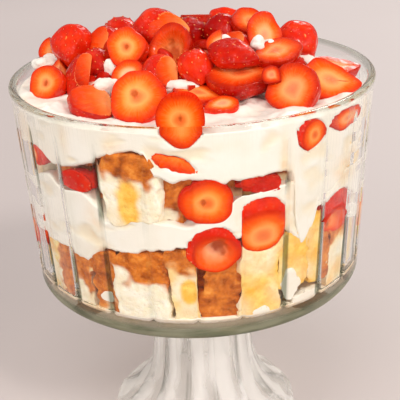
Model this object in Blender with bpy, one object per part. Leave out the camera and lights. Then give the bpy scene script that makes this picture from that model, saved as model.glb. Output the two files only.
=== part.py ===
"""Strawberry trifle in a footed glass bowl.

The frame stands on the foot: the origin is the middle of the foot's resting ring, +Z is up and
the front of the bowl faces -Y. Heights called "depth" are measured down from the rim, and angles
called "azimuth" are degrees round the bowl from the front towards +X. Sizes below are in
millimetres and are turned into metres when a mesh is made.
"""
import math

import bmesh
import bpy
from mathutils import Matrix, Vector
from mathutils.bvhtree import BVHTree

MM = 0.001

# ---- the bowl ----
HEIGHT = 236.0            # resting ring to rim
RIM_RADIUS = 108.0        # outside of the rolled rim
SIDE_TOP_RADIUS = 107.3   # outside of the wall just below the rim
SIDE_TAPER = 6.3          # how much the wall draws in over its depth
BASE_DEPTH = 126.0        # rim to the underside of the bowl
WALL = 4.8
FLOOR_DEPTH = 117.0       # rim to the inside of the floor
FLOOR_FILLET = 5.0
BASE_FILLET = 6.0
SIDES = 48                # facets round everything that is turned

GROOVES = 26              # pressed grooves down the outside of the wall
GROOVE_START = -1.15      # azimuth of the groove nearest the front
GROOVE_TOP_DEPTH = 10.0
GROOVE_BOTTOM_DEPTH = 113.0
GROOVE_WIDTH = 4.0
GROOVE_CUT = 1.2

FOOT_RADIUS = 62.3
FOOT_RING = 5.0           # width of the resting ring
FOOT_WALL = 6.5
NECK_RADIUS = 32.0
HOLLOW_TOP = 99.0         # height of the hollow's crown inside the stem
FLUTES = 12
FLUTE_START = 12.0        # azimuth of one ridge between flutes

# ---- the food ----
GAP = 0.3                 # left between pieces that touch
PRESS_GAP = 0.5           # between the glass and fruit pressed to it
POCKET_GAP = 0.8          # kept round a pressed piece in the layers it sits in
POCKET_PROUD = 3.0        # how far a pocket's cutter stands out past the fruit's face
EASE_GAP = 0.25           # kept round each piece of the heap
EASE_STEP = 0.4           # how far touching pieces move in one round of easing apart
EASE_ROUNDS = 160
LET_DOWN = 3.0            # the furthest that a piece is lowered onto what is under it
MOUND_RISE = 17.0         # how high the top cream swells in the middle
HEAP_THICKNESS = 10.0     # fruit over the cream behind the pieces that show
HEAP_LEAST = 1.2          # thickness of the heap at its edges
HEAP_START = 104.0        # azimuth where the fruit behind begins
HEAP_SWEEP = 150.0        # how far round the back it goes
HEAP_INNER = 0.34         # shares of the mound's reach between which it lies
HEAP_OUTER = 0.98
HEAP_COLUMNS = 16
HEAP_ROWS = 5
HEAP_LOOK = 6.0           # how far aside the ground under the heap is measured

# Depth of each boundary where it meets the glass, at azimuths chosen round the bowl
LOWER_CAKE_TOP = (
    (-180, 79), (-125, 76), (-78, 79), (-46, 80), (-38, 84), (-30, 71), (-12, 70), (-2, 66),
    (13, 80), (27, 74), (34, 78), (41, 63), (50, 83), (66, 80), (100, 75), (140, 81),
)
MIDDLE_CREAM_TOP = (
    (-180, 50), (-125, 45), (-77, 49), (-51, 38), (-37, 42), (-29, 57), (-12, 54), (-2, 57),
    (13, 52), (27, 42), (45, 41), (62, 43), (100, 50), (140, 44),
)
TOP_CREAM_UNDERSIDE = (
    (-180, 24), (-125, 29), (-77, 31), (-59, 24), (-42, 28), (-27, 16), (-16, 12), (-11, 28),
    (4, 30), (24, 30), (45, 35), (62, 34), (100, 25), (140, 30),
)
TOP_CREAM_SURFACE = (
    (-180, 12), (-130, 10), (-80, 14), (-20, 12), (40, 10), (64, 11), (85, 15), (120, 18), (150, 15),
)
# Each boundary's depth in the middle of the bowl
LOWER_CAKE_MIDDLE = 78.0
MIDDLE_CREAM_MIDDLE = 48.0
TOP_CREAM_UNDERSIDE_MIDDLE = 28.0
TOP_CREAM_SURFACE_MIDDLE = 10.0

# How far the swell of the top cream reaches from the middle, round the bowl
MOUND_REACH = (
    (-180, 84), (-120, 86), (-85, 88), (-50, 70), (-25, 54), (10, 50), (40, 54), (70, 72),
    (100, 76), (140, 80),
)

# ---- colours ----
GLASS = (0.86, 0.91, 0.89)
CAKE = (0.86, 0.62, 0.28)
CREAM = (0.93, 0.91, 0.87)
SKIN = (0.72, 0.04, 0.02)
FLESH = (0.90, 0.20, 0.05)

# Fruit pressed against the glass: azimuth, depth, width, height, thickness, turn, shape
PRESSED_FRUIT = {
    "side_slice_upper": (2.6, 42.0, 30.5, 26.5, 9, 0, "round"),
    "side_half_hollow": (4.3, 70.2, 30, 27, 14, 0, "cup"),
    "side_half_seeded": (19.8, 59.3, 25, 32, 14, 0, "round"),
    "side_dark_sliver": (19.0, 35.6, 26, 7.4, 12, 0, "round"),
    "side_left_small": (-56.5, 29.0, 13, 13, 8, 20, "round"),
    "side_left_seeded": (-39.0, 36.0, 24, 13, 12, 0, "round"),
    "side_left_low": (-73.0, 86.0, 22, 34, 12, 0, "heart"),
    "side_right_berry": (51.5, 66.5, 34, 28, 15, 0, "round"),
    "side_right_low": (74.0, 86.0, 22, 36, 12, 0, "heart"),
    "side_flesh_strip": (-6.0, 20.5, 23, 9, 6, -20, "round"),
    "edge_slice": (-3.8, -2.0, 26, 30, 7, 0, "round"),
    "rim_heart": (35.6, 14.0, 20, 18, 9, -14, "heart"),
    "rim_long_slice": (52.0, 12.5, 33, 12.5, 8, 0, "round"),
}

# Fruit of the heap: shape, x, y, height of its middle above the rim, facing azimuth, tilt of
# the face from level, turn within the face, width, length, thickness
HEAP_FRUIT = {
    "round_slice_front": ("round", -28, -61, 1, -10, 50, 0, 28, 28, 9),
    "skin_half_front_left": ("dome", -57, -54, -4, -48, 38, 85, 20, 30, 11),
    "holed_slice_left": ("round", -80, -17, -3, -30, 55, 0, 22, 21, 8),
    "flat_slice_left": ("heart", -86, 16, 0, -80, 24, -75, 17, 29, 6),
    "wedge_left": ("wedge", -80, 4, 1, -60, 40, 60, 15, 18, 8),
    "wedge_rim_left": ("wedge", -88, 32, 5, -20, 70, 20, 17, 18, 9),
    "half_left": ("dome", -65, -17, -3, -60, 62, 10, 18, 25, 9),
    "small_oval_slice": ("heart", 16, -60, -4, 10, 18, -75, 13, 19, 4.5),
    "sunk_flat_slice": ("heart", 13, -46, -2, 10, 20, 65, 15, 27, 5),
    "cut_half_right": ("half", 54, -58, -2, -30, 50, 35, 27, 30, 12),
    "cut_face_right": ("heart", 75, -36, -2, 28, 42, 72, 24, 35, 8),
    "pale_slice_right": ("heart", 81, -4, 0, 20, 18, 82, 19, 34, 7),
    "red_whole_right": ("whole", 56, -26, 4, 0, 0, 75, 18, 23, 18),
    "crescent_half": ("cup", 25, -47, 3, -5, 16, 88, 27, 36, 12),
    "slice_behind_front": ("round", -34, -31, 7, -15, 50, 0, 18, 18, 7),
    "seeded_half": ("dome", -17, -34, 10, 20, 50, 20, 19, 22, 10),
    "dark_whole_left": ("whole", -56, -9, 1, 0, 10, 40, 18, 21, 18),
    "seeded_round": ("whole", 7, -33, 14, 0, 30, 10, 18, 21, 17),
    "seeded_lip_half": ("dome", 20, -35, 17, -10, 28, 72, 20, 29, 9),
    "tilted_half": ("half", 46, -33, 12, -15, 22, -62, 20, 27, 9),
    "glossy_chunk_left": ("dome", -44, -6, 12, -10, 60, 10, 16, 21, 10),
    "seeded_half_left": ("dome", -55, 8, 17, -10, 55, 5, 20, 23, 10),
    "glossy_half_left": ("dome", -68, 10, 18, -25, 48, 20, 24, 28, 12),
    "facing_slice": ("round", -37, -13, 17, -14, 64, 0, 21, 21, 9),
    "small_behind_left": ("whole", -41, 30, 17, 0, 0, 70, 17, 22, 17),
    "hollow_half": ("cup", -11, -17, 15, -30, 58, 30, 26, 28, 13),
    "wedge_middle": ("wedge", 15, -25, 17, -20, 45, 10, 16, 18, 8),
    "skin_half_middle": ("dome", 27, -16, 19, 10, 40, 60, 18, 24, 9),
    "dark_behind_middle": ("whole", 6, 16, 20, 0, 10, 80, 18, 23, 18),
    "top_half": ("dome", -17, 2, 29, -5, 34, 84, 25, 32, 12),
    "dark_whole_top": ("whole", 19, 9, 22, 0, 20, 20, 18, 21, 18),
    "pale_half_upright": ("half", 42, -12, 25, 5, 72, 180, 18, 25, 9),
    "skin_half_right": ("dome", 65, -2, 17, 15, 52, 20, 23, 26, 12),
    "light_half_top": ("half", 31, 6, 24, 10, 60, 30, 18, 21, 9),
    "small_wedge_right": ("wedge", 35, -50, 5, 0, 30, 40, 9, 12, 5),
    "back_half": ("dome", -14, 54, 11, 170, 36, 60, 24, 29, 12),
    "back_slice": ("round", 24, 52, 11, 165, 48, 0, 24, 24, 8),
    "back_whole": ("whole", -46, 56, 8, 0, 0, 60, 22, 27, 22),
    "back_wedge": ("wedge", 50, 30, 12, 120, 45, 30, 20, 24, 10),
    "back_cut_half": ("half", 2, 37, 18, 175, 50, 20, 22, 27, 11),
}
CUP_DEPTH = 0.45          # share of a hollow half's thickness that its hollow takes
ROUND_CORNERS = 10        # corners of a cross cut's outline
CUT_SHAPES = ("round", "heart", "half", "wedge")   # shapes that show a cut face to the viewer


# ---- helpers ----
def clear_scene():
    for thing in list(bpy.data.objects):
        bpy.data.objects.remove(thing)


def around(knots, azimuth):
    """Value at an azimuth, eased between knots and joined up round the bowl."""
    count = len(knots)
    azimuth = (azimuth + 180.0) % 360.0 - 180.0
    for index in range(count):
        start, low = knots[index]
        end, high = knots[(index + 1) % count]
        if index == count - 1:
            end += 360.0
        if start <= azimuth <= end:
            part = (azimuth - start) / (end - start)
            part = part * part * (3.0 - 2.0 * part)
            return low + (high - low) * part
    return knots[0][1]


def ring_point(radius, azimuth, height):
    angle = math.radians(azimuth)
    return Vector((radius * math.sin(angle), -radius * math.cos(angle), height))


def side_radius(height):
    """Outside radius of the bowl's wall."""
    return SIDE_TOP_RADIUS - SIDE_TAPER * (HEIGHT - height) / BASE_DEPTH


def inner_radius(height):
    return side_radius(height) - WALL


def paint(name, colour, roughness, transmission=0.0):
    material = bpy.data.materials.new(name)
    material.use_nodes = True
    shader = material.node_tree.nodes["Principled BSDF"]
    shader.inputs["Base Color"].default_value = (*colour, 1.0)
    shader.inputs["Roughness"].default_value = roughness
    shader.inputs["Metallic"].default_value = 0.0
    shader.inputs["Transmission Weight"].default_value = transmission
    return material


def add_object(name, bm, material=None):
    """Turns millimetres into metres, points the faces outwards and links the object."""
    bmesh.ops.triangulate(bm, faces=[f for f in bm.faces if len(f.verts) > 4])
    bmesh.ops.recalc_face_normals(bm, faces=bm.faces)
    bmesh.ops.scale(bm, vec=(MM, MM, MM), verts=bm.verts)
    mesh = bpy.data.meshes.new(name)
    bm.to_mesh(mesh)
    bm.free()
    thing = bpy.data.objects.new(name, mesh)
    bpy.context.scene.collection.objects.link(thing)
    if material:
        mesh.materials.append(material)
        mesh.shade_smooth()
        mesh.set_sharp_from_angle(angle=math.radians(40))
    else:
        thing.hide_render = True
        thing.display_type = "WIRE"
    return thing


def cut_away(thing, cutter, mode="DIFFERENCE"):
    boolean = thing.modifiers.new("cut " + cutter.name, "BOOLEAN")
    boolean.operation = mode
    boolean.solver = "EXACT"
    boolean.object = cutter


def close_rings(bm, rings, bottom, top):
    """Skins rings of points into a closed shell with a point at either end."""
    loops = [[bm.verts.new(p) for p in ring] for ring in rings]
    for lower, upper in zip(loops, loops[1:]):
        count = len(lower)
        for i in range(count):
            j = (i + 1) % count
            bm.faces.new((lower[i], lower[j], upper[j], upper[i]))
    for loop, end in ((loops[0], bottom), (loops[-1], top)):
        tip = bm.verts.new(end)
        for i in range(len(loop)):
            bm.faces.new((loop[i], loop[(i + 1) % len(loop)], tip))


# ---- the bowl ----
def flute_dip(azimuth, depth):
    """How far a flute's hollow lies below the ridges at either side of it."""
    place = ((azimuth - FLUTE_START) % (360.0 / FLUTES)) * FLUTES / 360.0
    return depth * (1.0 - (2.0 * place - 1.0) ** 2)


def foot_outline():
    """Radius and flute depth up the outside of the foot, from the resting ring to the bowl."""
    return (
        (0.0, FOOT_RADIUS, 0.8),
        (3.0, FOOT_RADIUS - 1.7, 1.4),
        (6.5, FOOT_RADIUS - 7.1, 2.4),
        (11.0, FOOT_RADIUS - 12.7, 3.4),
        (16.0, NECK_RADIUS + 13.4, 3.8),
        (22.0, NECK_RADIUS + 9.4, 3.4),
        (31.0, NECK_RADIUS + 5.2, 2.6),
        (45.0, NECK_RADIUS + 2.2, 1.8),
        (70.0, NECK_RADIUS + 0.4, 1.4),
        (103.0, NECK_RADIUS + 0.8, 0.8),
    )


def bowl_rings():
    """Height, radius and flute depth of each ring, from inside the floor to inside the foot."""
    floor = HEIGHT - FLOOR_DEPTH
    base = HEIGHT - BASE_DEPTH
    inner = inner_radius(floor)
    outer = side_radius(base)
    rings = [
        (floor, inner - FLOOR_FILLET, 0.0),
        (floor + 0.3 * FLOOR_FILLET, inner - 0.3 * FLOOR_FILLET, 0.0),
        (floor + FLOOR_FILLET, inner_radius(floor + FLOOR_FILLET), 0.0),
        (HEIGHT - 3.0, inner_radius(HEIGHT - 3.0), 0.0),
        (HEIGHT - 0.9, RIM_RADIUS - 4.7, 0.0),
        (HEIGHT, RIM_RADIUS - 2.4, 0.0),
        (HEIGHT - 1.0, RIM_RADIUS - 0.3, 0.0),
        (HEIGHT - 2.4, RIM_RADIUS, 0.0),
        (HEIGHT - 4.2, side_radius(HEIGHT - 4.2), 0.0),
        (base + BASE_FILLET, side_radius(base + BASE_FILLET), 0.0),
        (base + 0.29 * BASE_FILLET, outer - 0.29 * BASE_FILLET, 0.0),
        (base, outer - BASE_FILLET, 0.0),
        (base, NECK_RADIUS + 8.0, 0.0),
    ]
    foot = foot_outline()
    rings += [(height, radius, dip) for height, radius, dip in reversed(foot)]
    rings.append((0.0, FOOT_RADIUS - FOOT_RING, 0.0))
    for height, radius, dip in foot[1:-1]:
        rings.append((height - 1.5, radius - FOOT_WALL, 0.35 * dip))
    rings.append((HOLLOW_TOP - 4.0, NECK_RADIUS - FOOT_WALL - 2.0, 0.0))
    return rings


def make_bowl(glass):
    bm = bmesh.new()
    turned = []
    for height, radius, dip in bowl_rings():
        ring = []
        for side in range(SIDES):
            azimuth = side * 360.0 / SIDES + FLUTE_START
            ring.append(ring_point(radius - flute_dip(azimuth, dip), azimuth, height))
        turned.append(ring)
    floor_middle = Vector((0.0, 0.0, HEIGHT - FLOOR_DEPTH))
    hollow_crown = Vector((0.0, 0.0, HOLLOW_TOP))
    close_rings(bm, turned, floor_middle, hollow_crown)
    bowl = add_object("bowl", bm, glass)
    cut_away(bowl, make_groove_cutters())
    return bowl


def make_groove_cutters():
    """One long tapering key for each groove, standing proud of the wall outside."""
    bm = bmesh.new()
    sections = (
        (GROOVE_BOTTOM_DEPTH, 0.25, 0.1),
        (GROOVE_BOTTOM_DEPTH - 3.5, 1.0, 1.0),
        (GROOVE_TOP_DEPTH + 4.0, 0.85, 1.0),
        (GROOVE_TOP_DEPTH, 0.2, 0.1),
    )
    proud = 3.0
    for groove in range(GROOVES):
        azimuth = GROOVE_START + groove * 360.0 / GROOVES
        rings = []
        for depth, wide, deep in sections:
            height = HEIGHT - depth
            wall = side_radius(height)
            half = 0.5 * GROOVE_WIDTH * wide
            cut = GROOVE_CUT * deep
            corners = ((-half, wall + proud), (half, wall + proud), (half, wall - 0.2 * cut),
                       (0.55 * half, wall - cut), (-0.55 * half, wall - cut), (-half, wall - 0.2 * cut))
            turn = Matrix.Rotation(math.radians(azimuth), 3, "Z")
            rings.append([turn @ Vector((x, -y, height)) for x, y in corners])
        loops = [[bm.verts.new(p) for p in ring] for ring in rings]
        for lower, upper in zip(loops, loops[1:]):
            for i in range(6):
                j = (i + 1) % 6
                bm.faces.new((lower[i], lower[j], upper[j], upper[i]))
        bm.faces.new(loops[0])
        bm.faces.new(loops[-1])
    return add_object("groove_cutters", bm)


# ---- layers of cake and cream ----
def boundary_depth(knots, middle, azimuth, reach):
    """Depth of a boundary at a share of the way from the middle out to the glass."""
    outer = around(knots, azimuth)
    share = reach ** 3
    angle = math.radians(azimuth)
    wave = 1.4 * math.sin(3.0 * angle + middle) * reach * (1.0 - share)
    depth = middle + (outer - middle) * share + wave
    if knots is TOP_CREAM_SURFACE:
        away = reach * inner_radius(HEIGHT) / around(MOUND_REACH, azimuth)
        depth -= MOUND_RISE * max(0.0, 1.0 - away * away) ** 1.3
    return depth


def layer_rings(knots, middle, shift):
    """Rings of one boundary from near the middle to the glass, each with twice the sides."""
    rings = []
    for reach, sides in ((0.42, SIDES // 4), (0.76, SIDES // 2), (1.0, SIDES)):
        ring = []
        for side in range(sides):
            azimuth = side * 360.0 / sides + FLUTE_START
            height = HEIGHT - boundary_depth(knots, middle, azimuth, reach) + shift
            radius = (inner_radius(height) - GAP) * reach
            ring.append(ring_point(radius, azimuth, height))
        rings.append(ring)
    return rings


def skin_layer(bm, rings, middle_height):
    """Faces of one boundary; returns its outermost loop."""
    loops = [[bm.verts.new(p) for p in ring] for ring in rings]
    tip = bm.verts.new((0.0, 0.0, middle_height))
    first = loops[0]
    for i in range(len(first)):
        bm.faces.new((first[i], first[(i + 1) % len(first)], tip))
    for coarse, fine in zip(loops, loops[1:]):
        for i in range(len(coarse)):
            j = (i + 1) % len(coarse)
            a, b, c = (fine[(2 * i + k) % len(fine)] for k in range(3))
            bm.faces.new((coarse[i], a, b))
            bm.faces.new((coarse[i], b, coarse[j]))
            bm.faces.new((coarse[j], b, c))
    return loops[-1]


def make_layer(name, below, above, material, pockets):
    """A layer of food between two boundaries, cut round the fruit that shows at the glass."""
    bm = bmesh.new()
    top = skin_layer(bm, layer_rings(*above, -GAP), HEIGHT - boundary_depth(*above, 0.0, 0.0) - GAP)
    if below:
        bottom = skin_layer(bm, layer_rings(*below, 0.0), HEIGHT - boundary_depth(*below, 0.0, 0.0))
    else:
        bottom = floor_loop(bm)
    for i in range(SIDES):
        j = (i + 1) % SIDES
        bm.faces.new((bottom[i], bottom[j], top[j], top[i]))
    layer = add_object(name, bm, material)
    cut_away(layer, pockets)
    return layer


def floor_loop(bm):
    """The flat underside of the lowest layer and the chamfer over the bowl's fillet."""
    floor = HEIGHT - FLOOR_DEPTH + GAP
    flat_radius = inner_radius(floor) - FLOOR_FILLET - GAP
    side_height = floor + FLOOR_FILLET
    flat = []
    side = []
    for i in range(SIDES):
        azimuth = i * 360.0 / SIDES + FLUTE_START
        flat.append(bm.verts.new(ring_point(flat_radius, azimuth, floor)))
        side.append(bm.verts.new(ring_point(inner_radius(side_height) - GAP, azimuth, side_height)))
    bm.faces.new(flat)
    for i in range(SIDES):
        j = (i + 1) % SIDES
        bm.faces.new((flat[i], flat[j], side[j], side[i]))
    return side


# ---- strawberries ----
def berry_girth(along):
    """Share of the full width at a place from the tip, 0, to the stem end, 1."""
    return math.sin(math.pi * along ** 1.3) ** 0.6


def outline_points(shape, width, length):
    """The outline of a slice: heart-shaped for a lengthwise cut and round for a cross cut."""
    points = []
    if shape != "heart":
        for i in range(ROUND_CORNERS):
            angle = 2.0 * math.pi * i / ROUND_CORNERS
            uneven = 1.0 - 0.035 * (1.0 + math.cos(3.0 * angle + width))
            points.append((0.5 * width * uneven * math.cos(angle), 0.5 * length * uneven * math.sin(angle)))
        return points
    places = (0.015, 0.2, 0.5, 0.78, 0.975)
    right = [(0.5 * width * berry_girth(t), length * (t - 0.5)) for t in places]
    return right + [(-x, y) for x, y in reversed(right)]


def slice_mesh(bm, outline, thickness, hollow=0.0, ringed=True):
    """A slice with its face at height zero and a rounded skin edge behind it."""
    levels = [(0.0, 0.95), (-0.3 * thickness, 1.0), (-thickness, 0.8)]
    if ringed:
        levels.insert(0, (-hollow, 0.5))
    rings = [[Vector((x * share, y * share, level)) for x, y in outline] for level, share in levels]
    close_rings(bm, rings, Vector((0.0, 0.0, -hollow)), Vector((0.0, 0.0, -thickness)))


def pocket_mesh(bm, outline, thickness):
    """A straight-sided block that clears the way for a pressed slice, out past the glass side."""
    loops = [[bm.verts.new((x, y, level)) for x, y in outline] for level in (POCKET_PROUD, -thickness)]
    for i in range(len(outline)):
        j = (i + 1) % len(outline)
        bm.faces.new((loops[0][i], loops[0][j], loops[1][j], loops[1][i]))
    for loop in loops:
        bm.faces.new(loop)


def body_mesh(bm, width, length, depth, sides=8):
    """A whole berry lying along Y with its tip at -Y."""
    rings = []
    for along in (0.05, 0.3, 0.64, 0.92):
        half = 0.5 * berry_girth(along)
        ring = []
        for i in range(sides):
            angle = 2.0 * math.pi * (i + 0.5) / sides
            place = (half * width * math.cos(angle), length * (along - 0.5), half * depth * math.sin(angle))
            ring.append(Vector(place))
        rings.append(ring)
    close_rings(bm, rings, Vector((0, -0.5 * length, 0)), Vector((0, 0.47 * length, 0)))


def keep_below(bm, normal):
    """Cuts the berry through its middle and caps the cut."""
    everything = bm.verts[:] + bm.edges[:] + bm.faces[:]
    cut = bmesh.ops.bisect_plane(bm, geom=everything, plane_co=(0, 0, 0), plane_no=normal, clear_outer=True)
    edges = [g for g in cut["geom_cut"] if isinstance(g, bmesh.types.BMEdge)]
    bmesh.ops.edgenet_fill(bm, edges=edges)


def fruit_mesh(shape, width, length, thickness, grow=0.0):
    """One piece of fruit about its own middle, its cut face towards +Z."""
    bm = bmesh.new()
    if shape == "round":
        slice_mesh(bm, outline_points("round", width, length), thickness, ringed=False)
    elif shape == "heart":
        slice_mesh(bm, outline_points("heart", width, length), thickness, ringed=False)
    elif shape == "cup":
        slice_mesh(bm, outline_points("round", width, length), thickness, CUP_DEPTH * thickness)
    elif shape == "whole":
        body_mesh(bm, width, length, thickness)
    elif shape == "half":
        body_mesh(bm, width, length, 2.0 * thickness)
        keep_below(bm, (0, 0, 1))
    elif shape == "dome":
        body_mesh(bm, width, length, 2.0 * thickness)
        keep_below(bm, (0, 0, -1))
    elif shape == "wedge":
        body_mesh(bm, width, length, 2.0 * thickness)
        keep_below(bm, (0, 0, 1))
        keep_below(bm, (1, 0, 0))
    bmesh.ops.triangulate(bm, faces=[f for f in bm.faces if len(f.verts) > 4])
    low = [min(v.co[k] for v in bm.verts) for k in range(3)]
    high = [max(v.co[k] for v in bm.verts) for k in range(3)]
    middle = Vector([(a + b) / 2.0 for a, b in zip(low, high)])
    for vert in bm.verts:
        for k in range(3):
            size = high[k] - low[k]
            vert.co[k] = (vert.co[k] - middle[k]) * (size + 2.0 * grow) / size
    return bm


def bend_to_glass(bm, azimuth, depth, turn):
    """Lays a piece that faces +Z at height zero along the inside of the wall."""
    spin = Matrix.Rotation(math.radians(turn), 3, "Z")
    for vert in bm.verts:
        across, up, out = spin @ vert.co
        height = HEIGHT - depth + up
        radius = inner_radius(height) - PRESS_GAP + out
        angle = azimuth + math.degrees(across / inner_radius(height))
        vert.co = ring_point(radius, angle, height)


def make_pressed_fruit(material):
    """The fruit that shows through the glass; returns the cutters of the pockets it sits in."""
    pockets = bmesh.new()
    for name, (azimuth, depth, width, height, thickness, turn, shape) in PRESSED_FRUIT.items():
        hollow = CUP_DEPTH * thickness if shape == "cup" else 0.0
        bm = bmesh.new()
        slice_mesh(bm, outline_points(shape, width, height), thickness, hollow)
        bend_to_glass(bm, azimuth, depth, turn)
        add_object(name, bm, material)
        bm = bmesh.new()
        wider = 1.0 + 2.0 * POCKET_GAP / width
        higher = 1.0 + 2.0 * POCKET_GAP / height
        outline = [(x * wider, y * higher) for x, y in outline_points(shape, width, height)]
        pocket_mesh(bm, outline, thickness + POCKET_GAP)
        bend_to_glass(bm, azimuth, depth, turn)
        append_mesh(pockets, bm)
    return add_object("fruit_pockets", pockets)


def append_mesh(target, source):
    """Copies one bmesh into another."""
    source.verts.index_update()
    copies = [target.verts.new(v.co) for v in source.verts]
    for face in source.faces:
        target.faces.new([copies[v.index] for v in face.verts])
    source.free()


# ---- the heap on top ----
class Piece:
    """A piece of fruit in its lie, with a slightly larger shape that keeps others away."""

    def __init__(self, name, shape, x, y, rise, facing, tilt, turn, width, length, thickness):
        self.name = name
        self.shape = shape
        self.place = Vector((x, y, HEIGHT + rise))
        self.size = (width, length, thickness)
        self.lie = (Matrix.Rotation(math.radians(facing), 3, "Z")
                    @ Matrix.Rotation(math.radians(tilt), 3, "X")
                    @ Matrix.Rotation(math.radians(turn), 3, "Z"))
        bm = self.mesh(shape.replace("cup", "round"), EASE_GAP)
        bm.verts.index_update()
        self.points = [vert.co.copy() for vert in bm.verts]
        self.faces = [[vert.index for vert in face.verts] for face in bm.faces]
        bm.free()
        self.reach = max(point.length for point in self.points)

    def mesh(self, shape, grow=0.0):
        bm = fruit_mesh(shape, *self.size, grow)
        for vert in bm.verts:
            vert.co = self.lie @ vert.co
        return bm

    def tree(self, lift=0.0):
        place = self.place + Vector((0.0, 0.0, lift))
        return BVHTree.FromPolygons([place + point for point in self.points], self.faces)


def tree_of(thing):
    """Search tree of an object as it is after its cuts, in millimetres."""
    graph = bpy.context.evaluated_depsgraph_get()
    mesh = thing.evaluated_get(graph).to_mesh()
    points = [vert.co / MM for vert in mesh.vertices]
    faces = [list(face.vertices) for face in mesh.polygons]
    return BVHTree.FromPolygons(points, faces)


def ease_apart(pieces, glass, ground):
    """Moves touching pieces away from each other, a little at a time, until none touch."""
    for _ in range(EASE_ROUNDS):
        trees = [piece.tree() for piece in pieces]
        shifts = [Vector() for _ in pieces]
        for i, one in enumerate(pieces):
            for j in range(i):
                other = pieces[j]
                apart = one.place - other.place
                if apart.length < one.reach + other.reach and trees[i].overlap(trees[j]):
                    shifts[i] += apart.normalized() * EASE_STEP
                    shifts[j] -= apart.normalized() * EASE_STEP
            if trees[i].overlap(glass):
                inward = Vector((-one.place.x, -one.place.y, 0.0))
                shifts[i] += inward.normalized() * EASE_STEP
            if any(trees[i].overlap(other) for other in ground):
                shifts[i] += Vector((0.0, 0.0, EASE_STEP))
        if not any(shift.length for shift in shifts):
            break
        for piece, shift in zip(pieces, shifts):
            piece.place += shift


def let_down(pieces, fixed):
    """Lowers each piece, lowest first, onto what is close below it."""
    for piece in sorted(pieces, key=lambda one: one.place.z):
        others = fixed + [other.tree() for other in pieces if other is not piece]
        lowered = 0.0
        while lowered < LET_DOWN:
            tree = piece.tree(-lowered - EASE_STEP)
            if any(tree.overlap(other) for other in others):
                break
            lowered += EASE_STEP
        piece.place.z -= lowered


def make_heap_fruit(materials, bowl, under):
    """The pieces that show on top of the heap."""
    pieces = [Piece(name, *values) for name, values in HEAP_FRUIT.items()]
    glass = tree_of(bowl)
    ground = [tree_of(thing) for thing in under]
    ease_apart(pieces, glass, ground)
    let_down(pieces, ground + [glass])
    for piece in pieces:
        bm = piece.mesh(piece.shape)
        bmesh.ops.translate(bm, vec=piece.place, verts=bm.verts)
        add_object(piece.name, bm, materials["flesh" if piece.shape in CUT_SHAPES else "skin"])


def ground_under(tree, radius, azimuth):
    """Height of the cream at a spot, and a little way round it, with the gap over it."""
    heights = []
    for step in range(9):
        aside = ring_point(HEAP_LOOK if step else 0.0, step * 45.0, 0.0)
        start = ring_point(radius, azimuth, HEIGHT + 60.0) + aside
        hit = tree.ray_cast(start, Vector((0.0, 0.0, -1.0)))[0]
        heights.append(hit.z)
    return max(heights[0] + GAP, (max(heights) + heights[0]) / 2.0) + GAP


def make_berry_heap(material, top_cream):
    """The fruit at the back of the mound as one body, out to its uneven outline."""
    tree = tree_of(top_cream)
    lower = []
    upper = []
    for column in range(HEAP_COLUMNS + 1):
        azimuth = HEAP_START + HEAP_SWEEP * column / HEAP_COLUMNS
        low_row = []
        high_row = []
        for row in range(HEAP_ROWS + 1):
            share = HEAP_INNER + (HEAP_OUTER - HEAP_INNER) * row / HEAP_ROWS
            radius = around(MOUND_REACH, azimuth) * share
            spot = ring_point(radius, azimuth, ground_under(tree, radius, azimuth))
            inside = 0 < column < HEAP_COLUMNS and 0 < row < HEAP_ROWS
            lump = 0.7 + 0.3 * math.sin(2.4 * column + 1.7 * row * row)
            thick = HEAP_THICKNESS * lump if inside else HEAP_LEAST
            low_row.append(spot)
            high_row.append(spot + Vector((0.0, 0.0, thick)))
        lower.append(low_row)
        upper.append(high_row)
    bm = bmesh.new()
    grids = [[[bm.verts.new(p) for p in row] for row in rows] for rows in (lower, upper)]
    for grid in grids:
        for a, b in zip(grid, grid[1:]):
            for k in range(HEAP_ROWS):
                bm.faces.new((a[k], a[k + 1], b[k + 1], b[k]))
    bottom, top = [edge_loop(grid) for grid in grids]
    for k in range(len(bottom)):
        j = (k + 1) % len(bottom)
        bm.faces.new((bottom[k], bottom[j], top[j], top[k]))
    return add_object("berry_heap", bm, material)


def edge_loop(grid):
    """The vertices round the outside of a grid."""
    first, last = grid[0], grid[-1]
    far = [column[-1] for column in grid[1:-1]]
    near = [column[0] for column in grid[1:-1]]
    return first + far + last[::-1] + near[::-1]


def main():
    clear_scene()
    glass = paint("glass", GLASS, 0.05, 0.9)
    cake = paint("cake", CAKE, 0.85)
    cream = paint("cream", CREAM, 0.45)
    fruit = {"skin": paint("berry_skin", SKIN, 0.25), "flesh": paint("berry_flesh", FLESH, 0.3)}

    bowl = make_bowl(glass)
    pockets = make_pressed_fruit(fruit["flesh"])
    lower = (LOWER_CAKE_TOP, LOWER_CAKE_MIDDLE)
    middle = (MIDDLE_CREAM_TOP, MIDDLE_CREAM_MIDDLE)
    upper = (TOP_CREAM_UNDERSIDE, TOP_CREAM_UNDERSIDE_MIDDLE)
    surface = (TOP_CREAM_SURFACE, TOP_CREAM_SURFACE_MIDDLE)
    make_layer("cake_lower", None, lower, cake, pockets)
    make_layer("cream_middle", lower, middle, cream, pockets)
    make_layer("cake_upper", middle, upper, cake, pockets)
    top = make_layer("cream_top", upper, surface, cream, pockets)
    side_fruit = [bpy.data.objects[name] for name in PRESSED_FRUIT]
    heap = make_berry_heap(fruit["skin"], top)
    make_heap_fruit(fruit, bowl, [top, heap] + side_fruit)


main()
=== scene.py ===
"""Finish for the strawberry trifle: pressed glass, whipped cream, torn cake and cut strawberries.

Lengths are in millimetres until a mesh is placed. "Depth" is measured down from the rim and
"azimuth" is degrees round the bowl from the front towards +X.
"""
import math
import random

import bpy
import numpy as np
from mathutils import Matrix, Vector


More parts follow.
